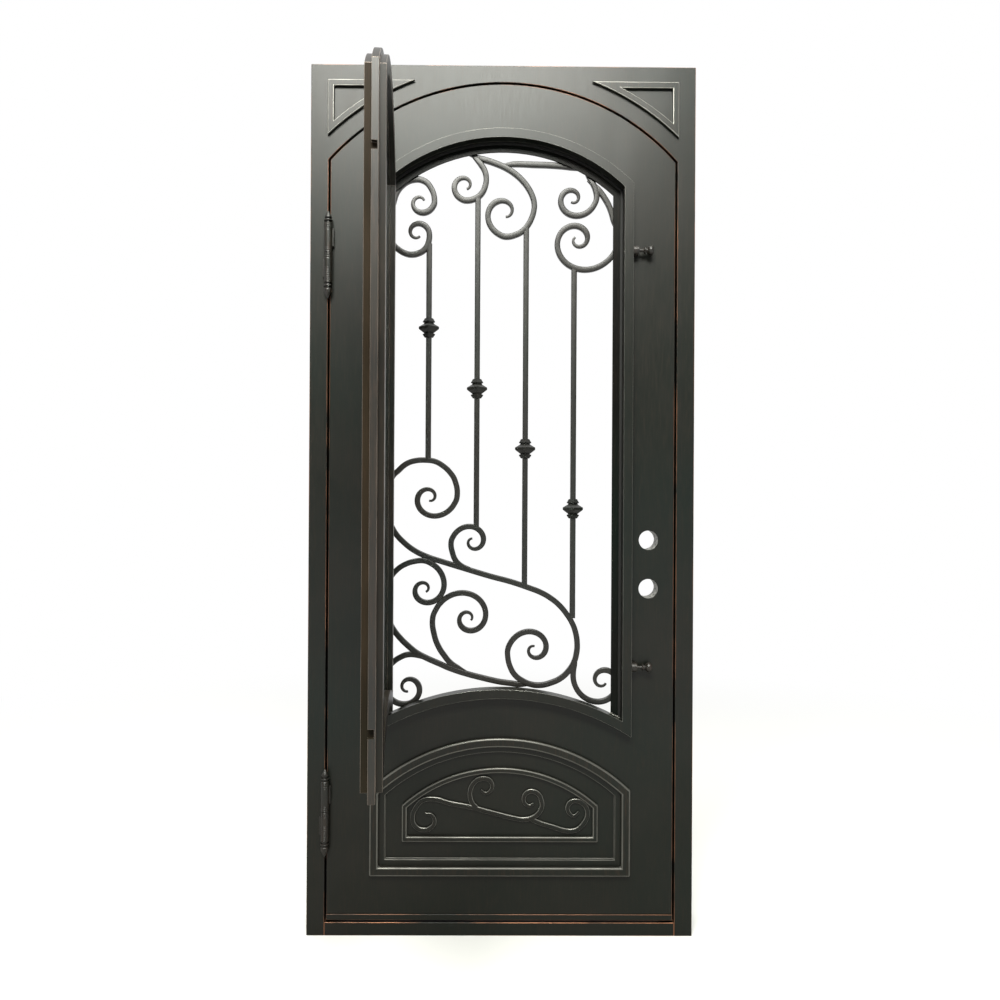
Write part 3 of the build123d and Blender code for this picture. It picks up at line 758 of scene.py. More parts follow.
def lathe(
    profile: list[Point],
    origin: Vector,
    axis: Vector,
    sides: int = 48,
) -> bmesh.types.BMesh:
    """Turns a profile round an axis.

    Args:
        profile: (height, radius) pairs in millimetres, low to high.
        origin: Point of height 0 on the axis, in metres.
        axis: Unit vector of the axis.
        sides: Number of sides round the axis.

    Returns:
        Closed mesh data.
    """
    side = axis.orthogonal().normalized()
    other = axis.cross(side)
    bm = bmesh.new()
    rings = []
    for height, radius in profile:
        ring = []
        for i in range(sides):
            a = 2 * math.pi * i / sides
            out = (side * math.cos(a) + other * math.sin(a)) * max(radius, 0.05) * MM
            ring.append(bm.verts.new(origin + axis * height * MM + out))
        rings.append(ring)
    for low, high in zip(rings, rings[1:]):
        for i in range(sides):
            j = (i + 1) % sides
            bm.faces.new((low[i], low[j], high[j], high[i]))
    bm.faces.new(rings[0][::-1])
    bm.faces.new(rings[-1])
    bmesh.ops.recalc_face_normals(bm, faces=bm.faces)
    return bm


# Geometry Nodes


def group(name: str, sizes: dict[str, tuple[str, object]]) -> bpy.types.NodeTree:
    """Starts a geometry tree with a geometry input and output and named sizes.

    Args:
        name: Name of the tree.
        sizes: Socket type and default value by input name.

    Returns:
        The empty tree.
    """
    tree = bpy.data.node_groups.new(name, "GeometryNodeTree")
    tree.interface.new_socket("Geometry", in_out="INPUT", socket_type="NodeSocketGeometry")
    tree.interface.new_socket("Geometry", in_out="OUTPUT", socket_type="NodeSocketGeometry")
    for label, (kind, value) in sizes.items():
        socket = tree.interface.new_socket(label, in_out="INPUT", socket_type=kind)
        if value is not None:
            socket.default_value = value
    return tree


def run_group(
    tree: bpy.types.NodeTree,
    source: bpy.types.Object,
    name: str,
    values: dict[str, object],
) -> bpy.types.Object:
    """Runs a geometry tree on an object and keeps the result as a plain mesh.

    Args:
        tree: The geometry tree.
        source: Object that it starts from, which is removed.
        name: Name of the new piece.
        values: Input values by name.

    Returns:
        The new piece.
    """
    modifier = source.modifiers.new(tree.name, "NODES")
    modifier.node_group = tree
    for item in tree.interface.items_tree:
        if item.item_type == "SOCKET" and item.in_out == "INPUT" and item.name in values:
            modifier[item.identifier] = values[item.name]
    bpy.context.view_layer.update()
    seen = source.evaluated_get(bpy.context.evaluated_depsgraph_get())
    mesh = bpy.data.meshes.new_from_object(seen)
    mesh.name = name
    source.modifiers.remove(modifier)
    bpy.data.objects.remove(source)
    return linked(name, mesh)


def run_lengths(line: Sequence[Point]) -> list[float]:
    """Gives the distance of each point from the first, along the line."""
    reach = [0.0]
    for a, b in zip(line, line[1:]):
        reach.append(reach[-1] + math.dist(a, b))
    return reach


def traced_curve(
    line: Sequence[Point], y: float, sizes: Sequence[float], resolution: int
) -> bpy.types.Object:
    """Draws a smooth curve through points that lie in one upright plane.

    Args:
        line: (x, z) pairs in millimetres.
        y: Place of the plane in metres.
        sizes: Share of the full section at each point.
        resolution: Steps between two points.

    Returns:
        The curve object.
    """
    data = bpy.data.curves.new("bar_line", "CURVE")
    data.dimensions = "3D"
    spline = data.splines.new("BEZIER")
    spline.bezier_points.add(len(line) - 1)
    spline.resolution_u = resolution
    for point, (x, z), size in zip(spline.bezier_points, line, sizes):
        point.co = (x * MM, y, z * MM)
        point.handle_left_type = "AUTO"
        point.handle_right_type = "AUTO"
        point.radius = size
    return linked("bar_line", data)


def spots_object(spots: list[tuple[float, float, float]]) -> bpy.types.Object:
    """Makes an object of loose points, given in metres, for pieces to be set on."""
    mesh = bpy.data.meshes.new("spots")
    mesh.from_pydata(spots, [], [])
    return linked("spots", mesh)


def forge(swept: list[bpy.types.Object]) -> bmesh.types.BMesh:
    """Gathers swept bars as one mesh and frees them."""
    bm = bmesh.new()
    for piece in swept:
        bm.from_mesh(piece.data)
        bpy.data.objects.remove(piece)
    return bm


def forged_bar_tree() -> bpy.types.NodeTree:
    """Tree that sweeps a bar with eased corners along curves, thinned by their radius.

    Returns:
        The geometry tree.
    """
    tree = group(
        "forged_bar",
        {
            "Width": ("NodeSocketFloat", 0.0155),
            "Depth": ("NodeSocketFloat", 0.014),
            "Corner": ("NodeSocketFloat", 0.0024),
            "Step": ("NodeSocketFloat", 0.004),
            "Dent": ("NodeSocketFloat", 0.0003),
            "Seed": ("NodeSocketInt", 7),
            "Finish": ("NodeSocketMaterial", None),
        },
    )
    given = add(tree, "NodeGroupInput")
    section = add(
        tree,
        "GeometryNodeCurvePrimitiveQuadrilateral",
        links={"Width": given.outputs["Depth"], "Height": given.outputs["Width"]},
    )
    eased = add(
        tree,
        "GeometryNodeFilletCurve",
        {"mode": "POLY", "Count": 3, "Limit Radius": True},
        {"Curve": section.outputs[0], "Radius": given.outputs["Corner"]},
    )
    normal = add(
        tree,
        "GeometryNodeSetCurveNormal",
        {"mode": "FREE", "Normal": (0.0, -1.0, 0.0)},
        {"Curve": given.outputs["Geometry"]},
    )
    spaced = add(
        tree,
        "GeometryNodeResampleCurve",
        {"mode": "LENGTH"},
        {"Curve": normal.outputs[0], "Length": given.outputs["Step"]},
    )
    radius = add(tree, "GeometryNodeInputRadius")
    swept = add(
        tree,
        "GeometryNodeCurveToMesh",
        {"Fill Caps": True},
        {"Curve": spaced.outputs[0], "Profile Curve": eased.outputs[0]},
    )
    if "Scale" in swept.inputs:
        tree.links.new(radius.outputs[0], swept.inputs["Scale"])
    place = add(tree, "GeometryNodeInputPosition")
    noise = add(
        tree,
        "ShaderNodeTexNoise",
        {"noise_dimensions": "4D", "Scale": 55.0, "Detail": 1.0},
        {"Vector": place.outputs[0], "W": given.outputs["Seed"]},
    )
    middle = add(
        tree,
        "ShaderNodeMath",
        {"operation": "SUBTRACT", 1: 0.5},
        {0: noise.outputs[0]},
    )
    depth = add(
        tree,
        "ShaderNodeMath",
        {"operation": "MULTIPLY"},
        {0: middle.outputs[0], 1: given.outputs["Dent"]},
    )
    out = add(tree, "GeometryNodeInputNormal")
    push = add(
        tree,
        "ShaderNodeVectorMath",
        {"operation": "SCALE"},
        {0: out.outputs[0], "Scale": depth.outputs[0]},
    )
    dented = add(
        tree,
        "GeometryNodeSetPosition",
        links={"Geometry": swept.outputs[0], "Offset": push.outputs[0]},
    )
    real = add(tree, "GeometryNodeRealizeInstances", links={"Geometry": dented.outputs[0]})
    done = add(
        tree,
        "GeometryNodeSetMaterial",
        links={"Geometry": real.outputs[0], "Material": given.outputs["Finish"]},
    )
    add(tree, "NodeGroupOutput", links={0: done.outputs[0]})
    return tree


def repeat_tree() -> bpy.types.NodeTree:
    """Tree that sets one small piece at every point of a mesh.

    Returns:
        The geometry tree.
    """
    tree = group(
        "repeat_piece",
        {
            "Piece": ("NodeSocketObject", None),
            "Turn": ("NodeSocketFloat", 0.35),
            "Seed": ("NodeSocketInt", 3),
            "Finish": ("NodeSocketMaterial", None),
        },
    )
    given = add(tree, "NodeGroupInput")
    piece = add(tree, "GeometryNodeObjectInfo", links={"Object": given.outputs["Piece"]})
    turn = add(
        tree,
        "FunctionNodeRandomValue",
        {"data_type": "FLOAT_VECTOR"},
        {"Seed": given.outputs["Seed"]},
    )
    upright = add(
        tree,
        "ShaderNodeVectorMath",
        {"operation": "MULTIPLY", 1: (0.0, 0.0, 1.0)},
        {0: turn.outputs[0]},
    )
    swing = add(
        tree,
        "ShaderNodeVectorMath",
        {"operation": "SCALE"},
        {0: upright.outputs[0], "Scale": given.outputs["Turn"]},
    )
    placed = add(
        tree,
        "GeometryNodeInstanceOnPoints",
        links={
            "Points": given.outputs["Geometry"],
            "Instance": piece.outputs["Geometry"],
            "Rotation": swing.outputs[0],
        },
    )
    real = add(tree, "GeometryNodeRealizeInstances", links={"Geometry": placed.outputs[0]})
    done = add(
        tree,
        "GeometryNodeSetMaterial",
        links={"Geometry": real.outputs[0], "Material": given.outputs["Finish"]},
    )
    add(tree, "NodeGroupOutput", links={0: done.outputs[0]})
    return tree


# Sub-assemblies


@dataclass
class DoorFrame:
    """Square headed steel frame with its sill and spandrel trims."""

    finishes: Finishes
    edge_mm: float = 1.6
    trim_edge_mm: float = 2.2

    def build(self) -> None:
        """Dresses the jambs, the head, the sill and the spandrel trims."""
        f = self.finishes
        dress(
            ("head", "jamb_left", "jamb_right"),
            Body.FRAME,
            f.paint,
            f.edge,
            self.edge_mm,
            name="welded_frame",
        )
        dress("sill", Body.FRAME, f.paint, f.bright_edge, self.edge_mm)
        for node in ("spandrel_left", "spandrel_right"):
            # The spandrel trims' rounded edges take the light grey edge, partly painted highlight.
            dress(node, Body.FRAME, f.moulding, f.trim_edge_and_highlight, self.trim_edge_mm)


@dataclass
class Leaf:
    """Stiles, rails, trims and seal of the door leaf."""

    finishes: Finishes
    edge_mm: float = 1.4
    trim_edge_mm: float = 3.5
    bores: tuple[Point, ...] = ((413, 974), (413, 1110))
    bore_r: float = 27.0
    lining_mm: float = 1.0
    rim_mm: float = 4.0
    opening_half: float = 345.0
    opening_z: Point = (120.0, 2300.0)

    def from_bore(self, spot: Vector) -> float:
        """Distance in millimetres from the nearest bore's axis."""
        return min(math.dist((spot.x, spot.z), bore) for bore in self.bores)

    def in_bore(self, spot: Vector, normal: Vector, index: int) -> bool:
        """Tells whether a face lines a bore."""
        near = self.from_bore(spot) < self.bore_r + self.lining_mm
        return index == 0 and abs(normal.y) < 0.3 and near

    def round_bore(self, spot: Vector, normal: Vector, index: int) -> bool:
        """Tells whether a face is on the rounded rim of a bore."""
        return index == 1 and self.from_bore(spot) < self.bore_r + self.rim_mm

    def round_panel(self, spot: Vector, normal: Vector, index: int) -> bool:
        """Tells whether a face is on the rim of the lower panel's field or of the window."""
        low, high = self.opening_z
        return index == 1 and abs(spot.x) < self.opening_half and low < spot.z < high

    def build(self) -> None:
        """Dresses the leaf's plates and tubes."""
        f = self.finishes
        leaf = dress(
            ("arch_rail", "hinge_stile", "lock_stile", "lower_panel"),
            Body.LEAF,
            f.paint,
            f.edge,
            self.edge_mm,
            name="welded_leaf",
        )
        recoat(leaf, f.bore, self.in_bore)
        recoat(leaf, f.paint, self.round_bore)
        # Painted highlight: the rims of the lower panel's field and of the window take the pale grey
        # edge.
        recoat(leaf, f.soft_edge_and_highlight, self.round_panel)
        dress(
            # The window trim's rounded edges take the light grey edge, partly painted highlight.
            ("window_trim_arch", "window_trim_left", "window_trim_right", "window_trim_bottom"),
            Body.LEAF,
            f.paint,
            f.trim_edge_and_highlight,
            self.trim_edge_mm,
            3,
            name="welded_window_trim",
            merge=0.9,
        )
        # Painted shade: the window seat takes the near black paint for the shadow in the recess.
        dress("window_seat", Body.LEAF, f.recess_shade, None, 0.8)
        dress("window_gasket", Body.LEAF, f.rubber, None, 1.2, 3)
        dress("outside_window_trim", Body.LEAF, f.paint, f.soft_edge_and_highlight, 2.0)
        dress("bottom_strip", Body.LEAF, f.paint, f.edge, 1.0)


@dataclass
class LowerPanel:
    """Stepped mouldings and low scroll work of the lower panel."""

    finishes: Finishes
    vine_width: float = 13.0
    vine_height: float = 8.0
    vine_corner: float = 3.0
    field_y: float = -60.0
    sunk_mm: float = 0.1
    thin_mm: float = 60.0
    tip: float = 0.5
    dent_mm: float = 0.2
    first_seed: int = 20
    tendrils: tuple[tuple[Point, ...], ...] = (
        (
            ((-209, 339), (-191, 335), (-183, 317), (-195, 299), (-215, 294), (-238, 305))
            + ((-245, 330), (-236, 356), (-217, 376), (-192, 381), (-136, 368), (-81, 358))
            + ((-38, 347), (0, 337), (38, 328), (70, 324), (93, 330), (109, 342), (118, 361))
            + ((116, 379), (109, 394), (92, 403), (77, 400), (67, 386), (69, 371), (81, 362))
            + ((95, 368),)
        ),
        (
            ((-66, 357), (-78, 370), (-84, 388), (-83, 407), (-74, 425), (-60, 436))
            + ((-44, 439), (-29, 433), (-22, 419), (-27, 404), (-40, 397), (-54, 405))
        ),
        (
            ((88, 325), (105, 317), (150, 303), (180, 294), (200, 292), (220, 298))
            + ((236, 314), (246, 335), (244, 355), (232, 370), (215, 377), (199, 373))
            + ((190, 359), (194, 343), (208, 334), (222, 346))
        ),
    )

    def build(self) -> None:
        """Dresses the mouldings and the scroll work."""
        f = self.finishes
        # The mouldings' rounded edges take the pale grey edge, partly painted highlight.
        dress("panel_outer_moulding", Body.LEAF, f.moulding, f.soft_edge_and_highlight, 4.5, 3)
        dress("panel_inner_moulding", Body.LEAF, f.moulding, f.soft_edge_and_highlight, 3.5, 3)
        self.vine()

    def on_arris(self, spot: Vector, normal: Vector, index: int) -> bool:
        """Tells whether a face is on the rounded corner of a tendril."""
        return -0.93 < normal.y < -0.25

    def vine(self) -> None:
        """Sweeps the tendrils as low bars with eased corners that lie on the panel's field."""
        tree = forged_bar_tree()
        sizes = {
            "Width": self.vine_width * MM,
            "Depth": self.vine_height * MM,
            "Corner": self.vine_corner * MM,
            "Dent": self.dent_mm * MM,
            "Finish": self.finishes.vine,
        }
        y = (self.field_y - self.vine_height / 2 + self.sunk_mm) * MM
        swept = []
        for i, line in enumerate(self.tendrils):
            reach = run_lengths(line)
            shares = []
            for run in reach:
                left = min(run if i == 0 else self.thin_mm, reach[-1] - run)
                shares.append(min(1.0, self.tip + (1 - self.tip) * left / self.thin_mm))
            curve = traced_curve(line, y, shares, 8)
            swept.append(run_group(tree, curve, "tendril", sizes | {"Seed": self.first_seed + i}))
        bm = forge(swept)
        for vert in bm.verts:
            vert.co.y = max(vert.co.y, (self.field_y - self.vine_height) * MM)
        bmesh.ops.remove_doubles(bm, verts=bm.verts, dist=0.01 * MM)
        bmesh.ops.recalc_face_normals(bm, faces=bm.faces)
        vine = object_from(bm, "panel_vine", self.finishes.vine)
        smooth(vine, 60)
        # Painted highlight: the tendrils' rounded corners take the light grey edge, standing for light
        # lines along them.
        recoat(vine, self.finishes.trim_edge_and_highlight, self.on_arris)
        stand_for(vine, Body.LEAF, "panel_scroll")
        log.info("panel vine with %d faces", len(vine.data.polygons))


@dataclass
class Volute:
    """Spiral end of a bar whose radius shrinks by one ratio each quarter turn."""

    pole: Point
    radius: float
    start: float
    turn: float
    ratio: float

    def points(self) -> list[Point]:
        """Gives the spiral's points, from its wide end to its eye."""
        steps = max(2, round(abs(self.turn) / 15))
        out = []
        for i in range(steps + 1):
            part = self.turn * i / steps
            r = self.radius * self.ratio ** (abs(part) / 90)
            a = math.radians(self.start + part)
            out.append((self.pole[0] + r * math.cos(a), self.pole[1] + r * math.sin(a)))
        return out


@dataclass
class Bar:
    """One bar of the grille: its line, and what its start and end thin to.

    A forged tip thins over a long way, and a scarfed end, which is welded against another
    bar, over a short one.
    """

    line: list[Point]
    start: str = "scarf"
    end: str = "tip"
    width: float = 15.5


@dataclass
class ScrollGrille:
    """Scroll grille of flat bar, with a turned collar on each picket."""

    finishes: Finishes
    depth: float = 14.0
    front: float = 14.0
    tip: float = 0.4
    thin_mm: float = 90.0
    scarf: Point = (0.5, 34.0)
    half_clear: float = 337.8
    collars: tuple[Point, ...] = ((-208, 1705), (-71, 1534), (66, 1365), (202, 1196))
    collar_profile: tuple[Point, ...] = (
        (-26.5, 8.4),
        (-20.5, 11.4),
        (-19, 12.4),
        (-15.6, 12.4),
        (-15.2, 9.8),
        (-13, 9.8),
        (-12, 11.2),
        (-3, 19.4),
        (-1.6, 20.4),
        (4.2, 20.4),
        (5.2, 19.6),
        (12, 11.4),
        (14.2, 9.8),
        (16.2, 9.8),
        (16.6, 12.4),
        (19.4, 12.4),
        (21, 11.4),
        (28.5, 8.4),
    )

    def bars(self) -> list[Bar]:
        """Lists the bars as they were traced, in millimetres of the door."""
        great = (
            Volute((-203, 1227), 77, 0, -460, 0.66).points()[::-1]
            + [(-132, 1275), (-147, 1299), (-167, 1317), (-187, 1328), (-210, 1332)]
            + [(-250, 1329), (-273, 1319), (-293, 1301), (-305, 1290), (-318, 1266)]
            + [(-327, 1238), (-330, 1210), (-327, 1181), (-313, 1150), (-299, 1125)]
            + [(-276, 1100), (-246, 1077), (-211, 1060), (-165, 1045), (-115, 1030)]
            + [(-65, 1015), (-27, 1004), (27, 990), (81, 972), (110, 961), (139, 945)]
            + [(165, 924), (186, 899), (203, 871), (212, 845), (216, 816), (215, 793)]
            + [(207, 762), (192, 738), (169, 717), (143, 705), (115, 698), (86, 700)]
            + [(62, 710), (40, 727), (26, 752), (20, 778)]
            + Volute((94, 798), 74, 180, -461, 0.67).points()
        )
        low_sweep = (
            [(86, 700), (51, 700), (28, 703), (-2, 707), (-52, 718), (-95, 729), (-139, 743)]
            + [(-179, 760), (-211, 774), (-239, 789), (-260, 806), (-283, 828), (-303, 853)]
            + [(-316, 878), (-324, 906), (-327, 935), (-325, 962), (-320, 984), (-310, 1004)]
            + [(-292, 1024), (-270, 1038), (-245, 1046)]
            + Volute((-217, 968), 79.7, 90, -510, 0.683).points()
        )
        pair = (
            Volute((-234, 2061), 39.9, 0, -330, 0.72).points()[::-1]
            + [(-207, 2106), (-227, 2123), (-255, 2125), (-282, 2112), (-301, 2088)]
            + [(-310, 2060), (-320, 2030), (-325, 1998), (-321, 1966), (-311, 1943)]
            + [(-295, 1927), (-275, 1916), (-258, 1913), (-238, 1917), (-221, 1928)]
            + [(-211, 1946)]
            + Volute((-243, 1975), 34.5, 0, 310, 0.744).points()
        )
        return [
            Bar([(-208, 1330), (-208, 1944)], "plain", "plain"),
            Bar([(-71, 1144), (-71, 2076)], "plain", "plain"),
            Bar([(66, 978), (66, 1992)], "plain", "plain"),
            Bar([(202, 888), (202, 1882)], "plain", "plain"),
            Bar(great, "tip"),
            Bar(low_sweep),
            Bar(pair, "tip"),
            Bar(
                [(-60, 1013), (-92, 1024), (-113, 1034), (-128, 1048), (-137, 1068)]
                + Volute((-80, 1102), 61.6, 180, -440, 0.684).points()
            ),
            Bar(
                [(-95, 733), (-121, 746), (-142, 760), (-159, 780), (-176, 806), (-187, 835)]
                + Volute((-93, 886), 99.6, 180, -575, 0.7).points()
            ),
            Bar(
                [(213, 790), (209, 759), (205.5, 735)]
                + Volute((288, 711), 81.4, 180, 505, 0.713).points()
            ),
            Bar(
                [(-180, 760), (-202, 770), (-228, 780)]
                + Volute((-262, 690), 92.7, 90, 545, 0.706).points()
            ),
            Bar(
                [(-92, 2200), (-76, 2184), (-63, 2169), (-52, 2150), (-48, 2129), (-51, 2108)]
                + [(-61, 2087), (-79, 2073)]
                + Volute((-108, 2110), 42.3, -90, -335, 0.7).points()
            ),
            Bar(
                [(-95, 2197), (-53, 2183), (-25, 2174), (6, 2161), (33, 2144), (56, 2123)]
                + [(72, 2102), (83, 2080), (88, 2060), (87, 2039), (81, 2019), (72, 2001)]
                + [(59, 1985), (38, 1972)]
                + Volute((5, 2036), 70, -90, -350, 0.66).points()
            ),
            Bar(
                [(0, 2168), (28, 2171), (91, 2170), (132, 2169), (192, 2164), (235, 2156)],
                end="scarf",
            ),
            Bar(
                [(232, 2152), (243, 2134), (254, 2118), (262, 2099)]
                + Volute((197, 2075), 67.5, 0, -475, 0.7).points()
            ),
            Bar(
                [(322, 1985), (313, 2013), (304, 2045), (288, 2076), (268, 2102), (240, 2128)],
                end="scarf",
            ),
            Bar(Volute((212, 1958), 114, -10, -575, 0.689).points(), "plain"),
        ]

    def thinned(self, kind: str, run: float) -> float:
        """Gives a bar's share of its full size at a distance from one of its ends.

        Args:
            kind: "tip", "scarf" or "plain".
            run: Distance from the end in millimetres.

        Returns:
            The share, from 0 to 1.
        """
        if kind == "plain":
            return 1.0
        least, reach = (self.tip, self.thin_mm) if kind == "tip" else self.scarf
        return min(1.0, least + (1 - least) * run / reach)

    def curve(self, bar: Bar) -> bpy.types.Object:
        """Draws one bar's centre line as a curve whose radius thins at forged tips.

        Args:
            bar: The bar.

        Returns:
            The curve object.
        """
        reach = run_lengths(bar.line)
        sizes = []
        for run in reach:
            from_start = self.thinned(bar.start, run)
            sizes.append(min(from_start, self.thinned(bar.end, reach[-1] - run)))
        return traced_curve(bar.line, self.middle_y(), sizes, 6)

    def middle_y(self) -> float:
        """Gives the plane of the bars' centre lines in metres."""
        return FACE_Y + (self.front + self.depth / 2) * MM

    def scrolls(self) -> None:
        """Sweeps every bar and joins them as the grille."""
        tree = forged_bar_tree()
        swept = []
        for i, bar in enumerate(self.bars()):
            sizes = {"Width": bar.width * MM, "Depth": self.depth * MM}
            values = sizes | {"Seed": i, "Finish": self.finishes.forged}
            swept.append(run_group(tree, self.curve(bar), "bar", values))
        bm = forge(swept)
        for vert in bm.verts:
            vert.co.x = max(-self.half_clear * MM, min(self.half_clear * MM, vert.co.x))
        bmesh.ops.remove_doubles(bm, verts=bm.verts, dist=0.01 * MM)
        bmesh.ops.recalc_face_normals(bm, faces=bm.faces)
        grille = object_from(bm, "forged_scrolls", self.finishes.forged)
        smooth(grille, 50)
        stand_for(grille, Body.LEAF, "scroll_grille")
        log.info("forged scrolls with %d faces", len(grille.data.polygons))

    def knuckles(self) -> None:
        """Turns one collar and sets it on each picket."""
        square = [(height, half * math.sqrt(2)) for height, half in self.collar_profile]
        bm = lathe(square, Vector((0, 0, 0)), Vector((0, 0, 1)), 4)
        bmesh.ops.rotate(bm, verts=bm.verts, matrix=Matrix.Rotation(math.pi / 4, 3, "Z"))
        bmesh.ops.bevel(
            bm,
            geom=bm.edges[:],
            offset=0.5 * MM,
            offset_type="OFFSET",
            segments=2,
            profile=0.5,
            affect="EDGES",
            clamp_overlap=True,
        )
        collar = object_from(bm, "collar_pattern", self.finishes.forged)
        for i, (x, z) in enumerate(self.collars):
            piece = run_group(
                repeat_tree(),
                spots_object([(x * MM, self.middle_y(), z * MM)]),
                f"turned_collar_{i + 1}",
                {"Piece": collar, "Turn": 0.0, "Seed": i, "Finish": self.finishes.forged},
            )
            settle_normals(piece, 35)
            stand_for(piece, Body.LEAF, f"picket_collar_{i + 1}")
            log.info("turned collar %d", i + 1)
        bpy.data.objects.remove(collar)

    def build(self) -> None:
        """Builds the scrolls and the collars."""
        self.scrolls()
        self.knuckles()


def ring_grooves(low: float, high: float, count: int, radius: float, cut: float) -> list[Point]:
    """Profile of a stretch of fine turned grooves.

    Args:
        low: Height where the stretch starts.
        high: Height where it ends.
        count: Number of grooves.
        radius: Radius between the grooves.
        cut: Depth of a groove.

    Returns:
        (height, radius) pairs, low to high.
    """
    step = (high - low) / count
    out = []
    for i in range(count):
        z = low + i * step
        out += [(z, radius), (z + 0.5 * step, radius), (z + 0.75 * step, radius - cut)]
    out.append((high, radius))
    return out


def block(
    bm: bmesh.types.BMesh, low: tuple[float, float, float], high: tuple[float, float, float]
) -> None:
    """Adds a closed box to mesh data.

    Args:
        bm: The mesh data.
        low: Its lowest corner in millimetres.
        high: Its highest corner in millimetres.
    """
    size = Vector(b - a for a, b in zip(low, high)) * MM
    middle = Vector((a + b) / 2 for a, b in zip(low, high)) * MM
    place = Matrix.Translation(middle) @ Matrix.Diagonal((*size, 1))
    bmesh.ops.create_cube(bm, size=1, matrix=place)


@dataclass
class WeldBeads:
    """Short rows of weld beads in the two lower corners of the window's recess."""

    finishes: Finishes
    start_x: float = 309.0
    y: float = -67.0
    count: int = 8
    pitch: float = 3.4
    bead_r: float = 2.4
    arch_r: float = 700.0
    arch_z: float = -5.0
    proud_mm: float = 1.0
    wander: Point = (0.8, 1.4)

    def build(self) -> None:
        """Sets one bead at each point of both rows."""
        bm = bmesh.new()
        bmesh.ops.create_icosphere(bm, subdivisions=2, radius=self.bead_r * MM)
        bmesh.ops.scale(bm, vec=(1.25, 0.6, 0.9), verts=bm.verts)
        for face in bm.faces:
            face.smooth = True
        bead = object_from(bm, "bead_pattern", self.finishes.pale_edge_and_highlight)
        points = []
        for side in (-1, 1):
            for i in range(self.count):
                x = self.start_x + i * self.pitch
                arch = self.arch_z + math.sqrt(self.arch_r**2 - x * x)
                z = arch + self.proud_mm + self.wander[0] * math.sin(2.4 * i)
                y = self.y + self.wander[1] * math.sin(1.7 * i)
                points.append((side * x * MM, y * MM, z * MM))
        # The beads take the light grey edge finish, which paints highlights on them as light specks.
        values = {"Piece": bead, "Turn": 0.6, "Seed": 5, "Finish": self.finishes.trim_edge_and_highlight}
        row = run_group(repeat_tree(), spots_object(points), "corner_weld_beads", values)
        bpy.data.objects.remove(bead)
        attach(row, Body.LEAF.value)
        log.info("%d weld beads", 2 * self.count)


@dataclass
class Hinges:
    """Turned barrel hinges of the leaf with finials, and the small ones of the sash."""

    finishes: Finishes
    axis_x: float = -487
    axis_y: float = -84
    joints: tuple[tuple[str, float], ...] = (("upper", 1905), ("lower", 352))
    barrel: float = 11.7

    def upper_profile(self) -> list[Point]:
        """Profile of the leaf's knuckle and its upper finial, over the joint."""
        r = self.barrel
        return (
            [(1, r - 1.2)]
            + ring_grooves(1.8, 17, 3, r, 1.1)
            + ring_grooves(62, 81.8, 4, r, 1.1)
            + [(83.2, r - 0.5), (84.8, r - 1.8), (85.6, 7.8), (87.4, 7.2), (89, 7.8)]
            + [(89.4, 11), (90.6, 12), (92, 12.1), (93.2, 11), (93.8, 7), (95.6, 6.6), (97.6, 7)]
            + [(98.2, 9.2), (99.4, 10), (101.5, 9.8), (105, 8.4), (109, 6.3), (113, 4)]
            + [(116.8, 2), (118, 0.5)]
        )

    def lower_profile(self) -> list[Point]:
        """Profile of the frame's knuckle and its lower finial, under the joint."""
        r = self.barrel
        return (
            [(-126.5, 0.5), (-125.4, 2.2), (-121, 4.2), (-116, 7), (-111, 9.4), (-107, 10.8)]
            + [(-103, 11.4), (-99.8, 10.8), (-98, 9.6), (-97.2, 7.6), (-95.4, 7), (-93.6, 7.6)]
            + [(-93, 11), (-91.8, 12), (-89.6, 12.1), (-88.4, 11), (-88, 7.6), (-85.4, 7)]
            + [(-82.8, 7.6), (-82.2, r - 1)]
            + ring_grooves(-81.6, -37, 9, r, 1.1)
            + ring_grooves(-17, -2, 3, r, 1.1)
            + [(0, r - 1)]
        )

    def turned(self, profile: list[Point], z: float, tabs: list[tuple], name: str) -> bpy.types.Object:
        """Turns half a hinge and adds its weld tab.

        Args:
            profile: Profile of the turned part.
            z: Height of the joint between the two knuckles.
            tabs: Lowest and highest corners of the boxes of the tab.
            name: Name of the piece.

        Returns:
            The new piece.
        """
        axis = Vector((self.axis_x, self.axis_y, z)) * MM
        bm = lathe(profile, axis, Vector((0, 0, 1)), 40)
        plate = bmesh.new()
        for low, high in tabs:
            block(plate, low, high)
        bmesh.ops.bevel(
            plate,
            geom=plate.edges[:],
            offset=1.2 * MM,
            offset_type="OFFSET",
            segments=2,
            profile=0.5,
            affect="EDGES",
        )
        mesh = bpy.data.meshes.new("tab")
        plate.to_mesh(mesh)
        plate.free()
        bm.from_mesh(mesh)
        bpy.data.meshes.remove(mesh)
        piece = object_from(bm, name, self.finishes.turned)
        settle_normals(piece, 50)
        return piece

    def build(self) -> None:
        """Turns the leaf's hinges and dresses the sash's."""
        f = self.finishes
        y = FACE_Y / MM
        for which, z in self.joints:
            upper = self.turned(
                self.upper_profile(),
                z,
                [
                    ((-484, y - 12, z + 20), (-472, y, z + 70)),
                    ((-486.5, y - 10, z + 21), (-480, y - 4, z + 69)),
                ],
                f"turned_hinge_{which}_leaf",
            )
            stand_for(upper, Body.LEAF, f"hinge_{which}_leaf")
            lower = self.turned(
                self.lower_profile(),
                z,
                [
                    ((-503, y - 12, z - 66), (-491, y, z - 16)),
                    ((-494, y - 10, z - 65), (-487, y - 6, z - 17)),
                ],
                f"turned_hinge_{which}_frame",
            )
            stand_for(lower, Body.FRAME, f"hinge_{which}_frame")
            log.info("turned %s hinge", which)
            dress(f"sash_hinge_{which}_leaf", Body.LEAF, f.turned, None, 0.3)
            dress(f"sash_hinge_{which}_sash", Body.SASH, f.turned, None, 0.3)


